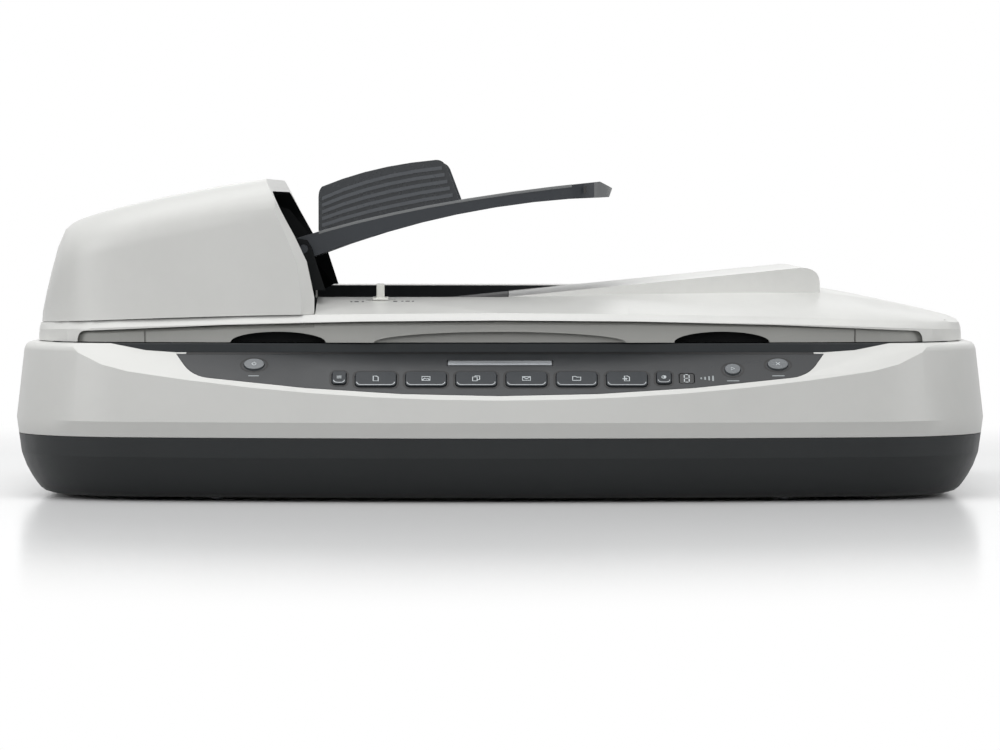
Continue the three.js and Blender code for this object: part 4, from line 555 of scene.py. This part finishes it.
class StageSizes(bpy.types.PropertyGroup):
    floor_colour: colour("Floor", "#f8f8f8", "Colour of the floor near the object")
    bounce_colour: colour("Bounce", "#5c5c5c", "How pale the floor is to the light that it throws back")
    floor_shine: FloatProperty(
        name="Floor shine", description="Share of the floor that reflects", subtype="FACTOR",
        min=0, max=1, default=0.7)
    sky_strength: FloatProperty(name="Sky", description="Strength of the even light", min=0, default=0.34)
    key_power: power("Key light", 14.5, "Power of the large top light")
    fill_power: power("Fill light", 9.6, "Power of the front fill")
    side_power: power("Side light", 11, "Power of each side light")


class ScannerOperator:
    bl_options = {"REGISTER", "UNDO"}


class SCANNER_OT_finishes(ScannerOperator, bpy.types.Operator):
    """Make every plastic, metal, glass and rubber finish"""
    bl_idname = "scanner.finishes"
    bl_label = "Finishes"

    def execute(self, context):
        finishes.clear()
        finishes.update(make_finishes())
        return {"FINISHED"}


class SCANNER_OT_case(ScannerOperator, bpy.types.Operator):
    """Stand fine-edged mouldings in for the tub, the upper case and the deck frame"""
    bl_idname = "scanner.case"
    bl_label = "Case"

    def execute(self, context):
        edge = context.scene.scanner_case.edge
        refine("upper_case", "case_upper_moulding", "case", edge)
        refine("lower_tub", "case_tub_moulding", "tub", edge)
        refine("platen_frame", "platen_frame_moulding", "frame", edge * 0.6)
        for node in ("power_inlet", "data_socket"):
            dress(node, "socket")
        for node in ("platen_glass", "feeder_glass"):
            refine(node, f"{node}_pane", "glass", 0.4 * MM, angle=50)
        for side in ("front_left", "front_right", "rear_left", "rear_right"):
            refine(f"foot_{side}", f"rubber_foot_{side}", "foot", 0.6 * MM)
        return {"FINISHED"}


class SCANNER_OT_scan_head(ScannerOperator, bpy.types.Operator):
    """Finish the carriage, its lamp, rod, rail, belt, pulleys and boards"""
    bl_idname = "scanner.scan_head"
    bl_label = "Scan head"

    def execute(self, context):
        refine("carriage", "carriage_moulding", "black", 0.6 * MM)
        refine("guide_rod", "guide_rod_ground", "rod", 0.4 * MM)
        for node in ("drive_pulley", "idler_pulley"):
            refine(node, f"{node}_moulding", "acetal", 0.2 * MM)
        refine("scan_motor", "scan_motor_can", "zinc", 0.5 * MM)
        for node in ("hinge_post_left", "hinge_post_right"):
            refine(node, f"{node}_moulding", "black", 0.5 * MM)
        for node, finish in (("slide_rail", "acetal"), ("drive_belt", "rubber"), ("scan_lamp", "lamp"),
                             ("main_board", "board"), ("panel_board", "board")):
            dress(node, finish)
        return {"FINISHED"}


def stroke(points, wide, closed=False):
    """The outline of a line of even width through some points."""
    left, right = [], []
    count = len(points)
    for i, (x, y) in enumerate(points):
        before = points[i - 1] if i or closed else points[i]
        after = points[(i + 1) % count] if i < count - 1 or closed else points[i]
        along = Vector((after[0] - before[0], after[1] - before[1])).normalized()
        left.append((x - along.y * wide / 2, y + along.x * wide / 2))
        right.append((x + along.y * wide / 2, y - along.x * wide / 2))
    return left, right


ICON_LINE = 0.11
SMALL_ICON = 0.66
PAGE = [(-0.28, -0.4), (0.28, -0.4), (0.28, 0.2), (0.08, 0.4), (-0.28, 0.4)]
POWER_ARC = [math.radians(40 + 280 * i / 12) for i in range(13)]

# Plain icons on a field of 1 by 1: closed lines, then open lines, each a list of (x, y)
ICONS = {
    "page": ([PAGE], []),
    "picture": ([rectangle(0.45, -0.32, 0.32)],
                [[(-0.4, -0.26), (-0.12, 0.08), (0.06, -0.1), (0.2, 0.04), (0.4, -0.26)]]),
    "copies": ([[(-0.4, -0.4), (0.1, -0.4), (0.1, 0.25), (-0.4, 0.25)]],
               [[(-0.15, 0.25), (-0.15, 0.42), (0.38, 0.42), (0.38, -0.2), (0.1, -0.2)]]),
    "envelope": ([rectangle(0.45, -0.3, 0.3)], [[(-0.42, 0.27), (0.0, -0.06), (0.42, 0.27)]]),
    "folder": ([[(-0.45, -0.32), (0.45, -0.32), (0.45, 0.22), (0.0, 0.22), (-0.1, 0.34), (-0.45, 0.34)]],
               []),
    "arrow": ([PAGE], [[(-0.5, -0.05), (-0.02, -0.05)], [(-0.16, 0.1), (0.02, -0.05), (-0.16, -0.2)]]),
    "menu": ([], [[(-0.4, y), (0.4, y)] for y in (0.25, 0.0, -0.25)]),
    "power": ([], [[(0.0, 0.05), (0.0, 0.45)],
                   [(0.33 * math.sin(a), -0.03 + 0.33 * math.cos(a)) for a in POWER_ARC]]),
    "cross": ([], [[(-0.3, -0.3), (0.3, 0.3)], [(-0.3, 0.3), (0.3, -0.3)]]),
    "start": ([[(-0.25, -0.32), (0.35, 0.0), (-0.25, 0.32)]], []),
    "halves": ([ring_outline(0, 0, 0.36, 20)],
               [[(x, -y), (x, y)] for x, y in ((0.0, 0.34), (0.12, 0.24), (0.22, 0.16))]),
}


def icon_shape(name, height, turn, thick):
    """An icon of even lines, raised from the plane of a matrix."""
    shape = bmesh.new()
    closed, open_lines = ICONS[name]
    for points in closed:
        scaled = [(x * height, y * height) for x, y in points]
        outer, inner = stroke(scaled, ICON_LINE * height, closed=True)
        band_mesh(shape, outer, inner, turn, thick)
    for points in open_lines:
        scaled = [(x * height, y * height) for x, y in points]
        left, right = stroke(scaled, ICON_LINE * height)
        plate_mesh(shape, right + list(reversed(left)), turn, thick)
    return shape


def facet_span(node):
    """The middle of a key's top in the panel's own plane, and its width and height there."""
    flat = facet_matrix().inverted()
    points = [flat @ v.co for v in frame["nodes"][node].data.vertices]
    high = max(p.z for p in points)
    crown = [p for p in points if p.z > high - 0.05 * MM]
    xs, ys = [p.x for p in crown], [p.y for p in crown]
    middle = Vector(((min(xs) + max(xs)) / 2, (min(ys) + max(ys)) / 2, high))
    return middle, max(xs) - min(xs), max(ys) - min(ys)


KEY_ICONS = dict(zip(KEY_NODES, ("page", "picture", "copies", "envelope", "folder", "arrow")))
KEY_ICONS.update(menu_key="menu", colour_key="halves", power_button="power", copy_button="start",
                 cancel_button="cross")


class SCANNER_OT_panel(ScannerOperator, bpy.types.Operator):
    """Finish the control panel: keys, buttons, bright bar, display and printed icons"""
    bl_idname = "scanner.panel"
    bl_label = "Panel"

    def execute(self, context):
        sizes = context.scene.scanner_panel
        refine("control_panel", "panel_moulding", "panel", 0.4 * MM)
        refine("status_bar", "status_bar_metallised", "bright", 0.7 * MM, segments=3)
        refine("status_display", "status_display_window", "window", 0.3 * MM)
        for node in KEY_NODES + SMALL_KEYS:
            refine(node, f"{node}_cap", "key", 0.7 * MM, segments=3)
        for node in BUTTONS:
            refine(node, f"{node}_cap", "button", 0.8 * MM, segments=3)
        for node, name in KEY_ICONS.items():
            height = sizes.icon_height * (SMALL_ICON if node in SMALL_KEYS + BUTTONS else 1.0)
            place = facet_matrix() @ Matrix.Translation(facet_span(node)[0])
            drawn_on(node, f"{node}_icon", icon_shape(name, height, place, sizes.ink_thick), "ink_white")
        self.key_trims(sizes)
        self.marks(sizes)
        self.display(sizes)
        return {"FINISHED"}

    def key_trims(self, sizes):
        """A dark ring round each key, painted shade for the gap round it, and a bright lip along its lower
        edge, a painted highlight.
        """
        gap_shade = bmesh.new()
        plane = facet_matrix()
        for node in KEY_NODES + SMALL_KEYS:
            top, wide, high = facet_span(node)
            corner = high * 0.27
            outer = rounded_outline(top.x, top.y, wide + 3.2 * MM, high + 3.2 * MM, corner + 0.9 * MM)
            inner = rounded_outline(top.x, top.y, wide + 1.0 * MM, high + 1.0 * MM, corner)
            band_mesh(gap_shade, outer, inner, plane, sizes.ink_thick)
            # A bright strip along the key's lower edge: a painted highlight.
            highlight_lip = rounded_outline(top.x, top.y, wide - 1.8 * MM, high - 1.8 * MM, corner * 0.7, 6)
            lower = [p for p in highlight_lip if p[1] < top.y - high * 0.12]
            left, right = stroke(lower, 0.5 * MM)
            crown = plane @ Matrix.Translation((0, 0, top.z))
            shape = bmesh.new()
            plate_mesh(shape, right + list(reversed(left)), crown, sizes.ink_thick)
            drawn_on(node, f"{node}_lip", shape, "key_highlight")
        drawn_on("control_panel", "key_gap_painted_shade", gap_shade, "socket")

    def marks(self, sizes):
        """Printed marks by the buttons and bars by the display, dark rings painted as shade in the gaps round
        the buttons, and a dark strip painted as the lid's shadow on the top of the facet.
        """
        shape = bmesh.new()
        plane = facet_matrix()
        for node, wide in (("copy_button", 7.0), ("cancel_button", 7.0), ("power_button", 6.0)):
            top = facet_span(node)[0]
            outline = rounded_outline(top.x, top.y - 9.2 * MM, wide * MM, 0.7 * MM, 0.3 * MM, 3)
            plate_mesh(shape, outline, plane, sizes.ink_thick)
        for step in range(4):
            across, high = (112.6 + 2.2 * step) * MM, (1.4 + step) * MM
            outline = rounded_outline(across, 20.4 * MM, 0.9 * MM, high, 0.3 * MM, 3)
            plate_mesh(shape, outline, plane, sizes.ink_thick)
        drawn_on("control_panel", "panel_marks_printed", shape, "ink")
        # Dark rings round the buttons: painted shade for the gaps round them.
        rings = bmesh.new()
        for node in BUTTONS:
            top, wide, high = facet_span(node)
            squeeze = high / wide
            outer = ring_outline(top.x, top.y, wide / 2 + 2.5 * MM, squeeze=squeeze)
            inner = ring_outline(top.x, top.y, wide / 2 + 1.3 * MM, squeeze=squeeze)
            band_mesh(rings, outer, inner, plane, sizes.ink_thick)
        drawn_on("control_panel", "button_gap_painted_shade", rings, "socket")
        # A dark strip along the top of the facet: the lid's shadow, painted.
        shadow_strip = bmesh.new()
        plate_mesh(shadow_strip, rounded_outline(0, 41.5 * MM, 353 * MM, 1.6 * MM, 0.5 * MM), plane, 0.12 * MM)
        drawn_on("control_panel", "deck_painted_shadow_strip", shadow_strip, "socket")

    def display(self, sizes):
        """Lit segments behind the little window: a plain count of copies."""
        shape = bmesh.new()
        top, wide, high = facet_span("status_display")
        place = facet_matrix() @ Matrix.Translation(top)
        stem, bar = high * 0.3, wide * 0.16
        for side in (-1, 1):
            for level in (-1, 1):
                outline = rounded_outline(
                    side * wide * 0.16, level * stem * 0.62, bar * 0.4, stem, bar * 0.18, 3)
                plate_mesh(shape, outline, place, sizes.ink_thick)
        for level in (-1, 0, 1):
            outline = rounded_outline(0, level * stem * 1.24, wide * 0.2, bar * 0.4, bar * 0.18, 3)
            plate_mesh(shape, outline, place, sizes.ink_thick)
        drawn_on("control_panel", "display_segments", shape, "ink_white")


class SCANNER_OT_lid(ScannerOperator, bpy.types.Operator):
    """Finish the lid, its pan, pad, bin liner and paper stop"""
    bl_idname = "scanner.lid"
    bl_label = "Lid"

    def execute(self, context):
        edge = context.scene.scanner_case.edge
        refine("lid_shell", "lid_moulding", "case", edge, planar=0.05)
        # The pan's darker grey is painted shade under the lid's front edge.
        pan = refine("lid_pan", "lid_pan_moulding", "pan", edge * 0.6)
        # The roof and back of each finger notch get the black finish: painted shade under the lid's front
        # edge.
        paint_faces(pan, "black", in_finger_notch_shade)
        refine("document_pad", "document_pad_film", "pad", 0.6 * MM)
        refine("output_bed", "bin_liner_moulding", "frame", edge * 0.6)
        refine("paper_stop", "paper_stop_moulding", "acetal", 0.6 * MM, segments=3)
        return {"FINISHED"}


NOTCH_MIDDLE, NOTCH_HALF_WIDE = 125 * MM, 30 * MM
NOTCH_BOTTOM, NOTCH_MOUTH, NOTCH_BACK = 89.6 * MM, -128 * MM, -129 * MM


def in_finger_notch_shade(middle, normal):
    """Whether a face of the pan lies in the roof or the back of one of the two scoops for the fingers, the
    faces that get painted shade.
    """
    beside = abs(abs(middle.x) - NOTCH_MIDDLE) < NOTCH_HALF_WIDE
    roof = normal.z < -0.3 and middle.z > NOTCH_BOTTOM and middle.y < NOTCH_MOUTH
    back = normal.y < -0.9 and abs(middle.y - NOTCH_BACK) < 0.3 * MM
    return beside and (roof or back)


def tray_edges():
    """Where the tray's two long edges run, clear of its pivot pins."""
    ys = [v.co.y for v in frame["nodes"]["input_tray"].data.vertices if v.co.x > 0]
    return min(ys), max(ys)


class SCANNER_OT_feeder(ScannerOperator, bpy.types.Operator):
    """Finish the sheet feeder: hood, chassis, rollers, gears, tray and guides"""
    bl_idname = "scanner.feeder"
    bl_label = "Feeder"

    def execute(self, context):
        edge = context.scene.scanner_case.edge
        hood = refine("adf_cover", "hood_moulding", "case", edge, planar=0.05)
        # The hood's inner faces, which look down or at its other walls, get the black finish: painted shade
        # inside the hood.
        paint_faces(hood, "black", inner_shade_test(hood, 0.4))
        chassis = refine("adf_chassis", "feeder_chassis_moulding", "black", edge * 0.6)
        # Chassis faces that look up or towards the mouth get a flat near-black: painted shade in the throat.
        paint_faces(chassis, "throat_shade", lambda middle, normal: normal.x > 0.3 or normal.z > 0.5)
        tray = refine("input_tray", "input_tray_moulding", "tray", edge * 1.8, planar=0.05, segments=3)
        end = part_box("input_tray")[1][0] - 11.5 * MM
        paint_faces(tray, "tray_end_and_highlight", lambda middle, normal: middle.x > end)
        self.guide("paper_guide_front", -1)
        self.guide("paper_guide_rear", 1)
        self.tray_highlight_lines()
        self.tray_slot_shade()
        for node in ("guide_pinion", "idler_gear"):
            refine(node, f"{node}_moulding", "acetal", 0.2 * MM)
        for node in ("feed_shaft", "pick_shaft", "exit_shaft", "motor_pinion"):
            refine(node, f"{node}_ground", "shaft", 0.2 * MM)
        for node in ("feed_roller", "pick_roller", "exit_roller"):
            refine(node, f"{node}_rubber", "rubber", 0.8 * MM)
        refine("feed_motor", "feed_motor_can", "zinc", 0.6 * MM)
        dress("exit_belt", "rubber")
        return {"FINISHED"}

    def guide(self, node, out):
        """A guide whose ribs are painted paler as painted highlights, and a felt skid that closes its slit
        over the tray.
        """
        low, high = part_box(node)
        outer = low[1] if out < 0 else high[1]
        piece = refine(node, f"{node}_moulding", "guide", 0.4 * MM)
        paint_faces(piece, "rib_highlight", lambda middle, normal: abs(middle.y - outer) < 0.1 * MM)
        places = spread(low[0] + 0.3 * MM, high[0] - 8 * MM, 24)
        strip_along(node, f"{node}_skid_felt", "guide", places, outer - out * 1.6 * MM,
                    rectangle(0.9 * MM, -0.24 * MM, 0.2 * MM))

    def tray_highlight_lines(self):
        """A pale strip along both long edges of the tray: a painted highlight on its rounded top edges."""
        low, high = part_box("input_tray")
        front, rear = tray_edges()
        places = spread(low[0] + 14 * MM, high[0] - 15 * MM, 36)
        for side, edge, out in (("front", front, -1), ("rear", rear, 1)):
            section = [(out * dy * MM, dz * MM) for dy, dz in (
                (-0.4, -1.0), (1.0, -1.5), (1.05, -0.4), (0.85, 0.05), (-0.4, 0.16))]
            strip_along("input_tray", f"tray_highlight_lip_{side}", "tray_end_and_highlight", places, edge - out * 0.8 * MM,
                        section, upper=True)

    def tray_slot_shade(self):
        """A short dark plate in each side of the tray, close to its outer end: painted shade for a slot."""
        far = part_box("input_tray")[1][0]
        front, rear = tray_edges()
        shape = bmesh.new()
        for y, turn in ((front, 90), (rear, -90)):
            place = Matrix.Translation((far - 16 * MM, y, 175 * MM)) @ Matrix.Rotation(
                math.radians(turn), 4, "X")
            plate_mesh(shape, rounded_outline(0, 0, 1.6 * MM, 4.4 * MM, 0.7 * MM), place, 0.12 * MM)
        drawn_on("input_tray", "tray_end_slot_shade", shape, "socket")


def plane_on(node, start, way, up=(0, 0, 1)):
    """A matrix on the node's surface where a ray meets it: z out of the surface, y towards up."""
    spot, normal = walls_of(frame["nodes"][node].data).ray_cast(Vector(start), Vector(way))[:2]
    if spot is None:
        raise RuntimeError(f"no surface of {node} on the way from {start}")
    if normal.dot(Vector(way)) > 0:
        normal.negate()
    across = Vector(up).cross(normal).normalized()
    high = normal.cross(across)
    turn = Matrix((across, high, normal)).transposed().to_4x4()
    return Matrix.Translation(spot) @ turn


def under_tub(x, y):
    return plane_on("lower_tub", (x, y, -0.05), (0, 0, 1), up=(0, 1, 0))


def screw_mesh(heads, shade_slots, place, radius):
    """A domed screw head with a cross-shaped recess drawn in shadow."""
    rings = [(across * radius, up * radius) for across, up in ((1, 0), (1, 0.16), (0.86, 0.3), (0.5, 0.38))]
    tube_mesh(heads, rings, place, sides=28)
    top = place @ Matrix.Translation((0, 0, 0.381 * radius))
    for wide, high in ((0.86, 0.2), (0.2, 0.86)):
        outline = rounded_outline(0, 0, wide * radius, high * radius, 0.08 * radius, 3)
        plate_mesh(shade_slots, outline, top, 0.02 * MM)


class SCANNER_OT_details(ScannerOperator, bpy.types.Operator):
    """Add vents, socket contacts, printed marks, and the screws and the plate below"""
    bl_idname = "scanner.details"
    bl_label = "Details"

    def execute(self, context):
        sizes = context.scene.scanner_details
        self.vents(sizes)
        self.contacts()
        self.rule(sizes)
        self.size_marks(sizes)
        self.screws(sizes)
        self.blank_plate()
        return {"FINISHED"}

    def vents(self, sizes):
        """Rows of slots at the back and on both ends, each shown as a flat dark plate, painted shade for the
        inside of the slot, with a rim.
        """
        shade_slots = bmesh.new()
        rims = bmesh.new()
        rear = [((x, 0.3, 0.062), (0, -1, 0)) for x in spread(0.115, 0.195, 11)]
        ends = [((side * 0.4, y, 0.064), (-side, 0, 0)) for side in (-1, 1) for y in spread(0.02, 0.09, 9)]
        for start, way in rear + ends:
            place = plane_on("upper_case", start, way)
            outer = rounded_outline(0, 0, sizes.vent_wide + 0.7 * MM, sizes.vent_high + 0.7 * MM, 1.3 * MM)
            inner = rounded_outline(0, 0, sizes.vent_wide, sizes.vent_high, 1.0 * MM)
            plate_mesh(shade_slots, inner, place, 0.04 * MM)
            band_mesh(rims, outer, inner, place, 0.1 * MM)
        drawn_on("upper_case", "vent_slot_shade", shade_slots, "socket")
        drawn_on("upper_case", "vent_rims", rims, "case")

    def contacts(self):
        """The centre pin of the power inlet and the four blades of the data socket."""
        shape = bmesh.new()
        facing = Matrix.Rotation(math.radians(-90), 4, "X")
        inlet, socket = [(low + high) / 2 for low, high in (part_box("power_inlet"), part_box("data_socket"))]
        pin = Matrix.Translation((inlet.x, 0.16, inlet.z)) @ facing
        tube_mesh(shape, [(0.9 * MM, 0), (0.9 * MM, 10 * MM), (0.5 * MM, 10.8 * MM)], pin, sides=20)
        for step in range(4):
            x = socket.x + (step - 1.5) * 1.4 * MM
            box_mesh(shape, (x - 0.35 * MM, 0.162, socket.z + 2.9 * MM),
                     (x + 0.35 * MM, 0.1705, socket.z + 3.3 * MM))
        drawn_on("data_socket", "socket_contacts", shape, "contact")

    def rule(self, sizes):
        """A printed rule in centimetres along the platen, with the corner mark for sheets."""
        shape = bmesh.new()
        (left, front, _), (right, _, _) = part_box("platen_glass")
        plane = Matrix.Translation((0, 0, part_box("platen_frame")[1][2]))
        count = int((right - left) / (5 * MM))
        for step in range(count + 1):
            long = 3 if step % 10 == 0 else 2 if step % 2 == 0 else 1
            y = front - 3 * MM - long * 0.6 * MM
            tick = rounded_outline(left + step * 5 * MM, y, 0.4 * MM, long * 1.2 * MM, 0.1 * MM, 2)
            plate_mesh(shape, tick, plane, sizes.ink_thick)
        arrow = [(right + x * MM, front - y * MM) for x, y in ((2, 2), (8, 4.5), (4.5, 8))]
        plate_mesh(shape, arrow, plane, sizes.ink_thick)
        drawn_on("platen_frame", "platen_rule_printed", shape, "ink_white")

    def size_marks(self, sizes):
        """Short size bars on the ledge on both sides of the paper stop."""
        shape = bmesh.new()
        for x, wide in ((-0.0845, 1.2), (-0.0815, 2.4), (-0.078, 1.2), (-0.0595, 2.4), (-0.0555, 1.2),
                        (-0.0525, 2.4), (-0.0495, 1.2)):
            place = plane_on("lid_shell", (x, -0.1125, 0.3), (0, 0, -1), up=(0, 1, 0))
            outline = rounded_outline(0, 0, wide * MM, 2.2 * MM, 0.3 * MM, 3)
            plate_mesh(shape, outline, place, sizes.ink_thick)
        drawn_on("lid_shell", "size_marks_printed", shape, "ink_dark")

    def screws(self, sizes):
        """Three pairs of screws in the underside."""
        heads, shade_slots = bmesh.new(), bmesh.new()
        for x, y in ((0.235, -0.04), (0.16, 0.14), (0.16, -0.14)):
            for side in (-1, 1):
                screw_mesh(heads, shade_slots, under_tub(side * x, y), sizes.screw_radius)
        drawn_on("lower_tub", "tub_screw_heads", heads, "screw")
        drawn_on("lower_tub", "tub_screw_recesses", shade_slots, "socket")

    def blank_plate(self):
        """A bare aluminium plate on the underside, left blank."""
        shape = bmesh.new()
        outline = rounded_outline(0, 0, 90 * MM, 45 * MM, 2.5 * MM)
        plate_mesh(shape, outline, under_tub(0.05, 0.06), 0.25 * MM, bevel=0.1 * MM)
        drawn_on("lower_tub", "blank_plate_foil", shape, "foil")


# Stage

LIT_MIDDLE = (0, 0, 0.1)
CAMERA_PLACE = (0, -3.0755, 0.167)
CAMERA_DOWN = 1.88
CAMERA_LENS = 187.7


def soft_light(name, place, size, watts):
    """A rectangular lamp that faces the middle of the scanner."""
    lamp = bpy.data.lights.new(name, "AREA")
    lamp.shape = "RECTANGLE"
    lamp.size, lamp.size_y = size
    lamp.energy = watts
    way = Vector(LIT_MIDDLE) - Vector(place)
    placed(name, lamp, place).rotation_euler = way.to_track_quat("-Z", "Y").to_euler()


def background_rays(target):
    """One for the rays that show the background: straight, in gloss and through glass."""
    path = add(target, "ShaderNodeLightPath")
    straight = add(target, "ShaderNodeMath", links={
        0: (path, "Is Camera Ray"), 1: (path, "Is Transmission Ray")}, operation="MAXIMUM")
    return add(target, "ShaderNodeMath", links={
        0: (straight, 0), 1: (path, "Is Glossy Ray")}, operation="MAXIMUM")


def floor_material(near, bounce, shine):
    """Satin painted studio floor: pale with a faint reflection, and white further off."""
    material, place = blank("board_painted_satin")
    seen = background_rays(material)
    cloud = add(material, "ShaderNodeTexNoise", {"Scale": 1.5, "Detail": 3.0}, place)
    paint = ramp(material, (cloud, "Fac"), [(0.3, shade(near, 0.995)), (0.7, near)])
    tint = add(material, "ShaderNodeMix", {"A": rgba(bounce)}, {"Factor": (seen, 0), "B": (paint, 0)},
               data_type="RGBA")
    matt = add(material, "ShaderNodeBsdfDiffuse", links={"Color": (tint, "Result")})
    gloss = add(material, "ShaderNodeBsdfAnisotropic", {"Roughness": 0.16}, {"Color": (tint, "Result")})
    slant = add(material, "ShaderNodeFresnel", {"IOR": 1.4})
    share = add(material, "ShaderNodeMath", {1: shine}, {0: (slant, 0)}, operation="MULTIPLY")
    satin = add(material, "ShaderNodeMixShader", links={"Fac": (share, 0), 1: (matt, 0), 2: (gloss, 0)})
    far = add(material, "ShaderNodeVectorMath", links={0: place["Vector"]}, operation="LENGTH")
    fade = add(material, "ShaderNodeMapRange", {"From Min": 0.5, "From Max": 0.95},
               {"Value": (far, "Value")}, interpolation_type="SMOOTHSTEP")
    only = add(material, "ShaderNodeMath", links={0: (fade, 0), 1: (seen, 0)}, operation="MULTIPLY")
    white = add(material, "ShaderNodeEmission", {"Strength": 1.0})
    surface = add(material, "ShaderNodeMixShader", links={"Fac": (only, 0), 1: (satin, 0), 2: (white, 0)})
    return close(material, surface)


def studio_world(strength):
    """An even studio sky that shows plain white behind the object."""
    world = bpy.data.worlds.new("studio")
    world.use_nodes = True
    world.node_tree.nodes.clear()
    lit = add(world, "ShaderNodeBackground", {"Color": (0.96, 0.98, 1.0, 1.0), "Strength": strength})
    white = add(world, "ShaderNodeBackground", {"Color": rgba(grey(1.0))})
    seen = background_rays(world)
    mixed = add(world, "ShaderNodeMixShader", links={"Fac": (seen, 0), 1: (lit, 0), 2: (white, 0)})
    add(world, "ShaderNodeOutputWorld", links={"Surface": (mixed, 0)})
    return world


class SCANNER_OT_stage(ScannerOperator, bpy.types.Operator):
    """Lay the floor, hang the soft lights and set the camera"""
    bl_idname = "scanner.stage"
    bl_label = "Stage"

    def execute(self, context):
        sizes = context.scene.scanner_stage
        shape = bmesh.new()
        bmesh.ops.create_grid(shape, x_segments=8, y_segments=8, size=6)
        mesh = finish_mesh(shape, "floor")
        mesh.materials.append(floor_material(sizes.floor_colour, sizes.bounce_colour, sizes.floor_shine))
        floor = placed("floor", mesh, (0, 0, -0.2 * MM))
        context.scene.world = studio_world(sizes.sky_strength)

        soft_light("top", (-0.25, -0.35, 1.5), (1.7, 1.2), sizes.key_power)
        soft_light("front", (-0.35, -2.3, 0.75), (1.8, 0.8), sizes.fill_power)
        soft_light("left", (-1.7, -1.0, 0.7), (1.0, 1.0), sizes.side_power)
        soft_light("right", (1.7, -0.9, 0.7), (1.0, 1.0), sizes.side_power)
        soft_light("rear", (0.2, 1.6, 1.0), (1.6, 0.8), sizes.side_power * 0.3)

        lens = bpy.data.cameras.new("camera")
        lens.sensor_width = 36
        lens.lens = CAMERA_LENS
        lens.clip_end = 50
        camera = placed("camera", lens, CAMERA_PLACE)
        camera.rotation_euler = (math.radians(90 - CAMERA_DOWN), 0, 0)
        context.scene.camera = camera
        context.scene.view_settings.view_transform = "Standard"
        return {"FINISHED"}


class SCANNER_PT_parts(bpy.types.Panel):
    """Lists the steps that dress the scanner"""
    bl_label = "Flatbed scanner"
    bl_space_type = "VIEW_3D"
    bl_region_type = "UI"
    bl_category = "Scanner"

    def draw(self, context):
        for group in GROUPS:
            sizes = getattr(context.scene, group)
            box = self.layout.box()
            for key in sizes.bl_rna.properties.keys():
                if key not in {"rna_type", "name"}:
                    box.prop(sizes, key)
        for step in STEPS:
            self.layout.operator(f"scanner.{step}")


GROUPS = {
    "scanner_case": CaseSizes, "scanner_lid": LidSizes, "scanner_panel": PanelSizes,
    "scanner_feeder": FeederSizes, "scanner_details": DetailSizes, "scanner_stage": StageSizes,
}
STEPS = ("finishes", "case", "scan_head", "panel", "lid", "feeder", "details", "stage")
CLASSES = (
    *GROUPS.values(), SCANNER_OT_finishes, SCANNER_OT_case, SCANNER_OT_scan_head, SCANNER_OT_panel,
    SCANNER_OT_lid, SCANNER_OT_feeder, SCANNER_OT_details, SCANNER_OT_stage, SCANNER_PT_parts,
)


def register():
    for cls in CLASSES:
        bpy.utils.register_class(cls)
    for name, group in GROUPS.items():
        setattr(bpy.types.Scene, name, PointerProperty(type=group))


def unregister():
    for name in GROUPS:
        delattr(bpy.types.Scene, name)
    for cls in reversed(CLASSES):
        bpy.utils.unregister_class(cls)


def main():
    register()
    for step in STEPS:
        getattr(bpy.ops.scanner, step)()


if __name__ == "__main__":
    main()
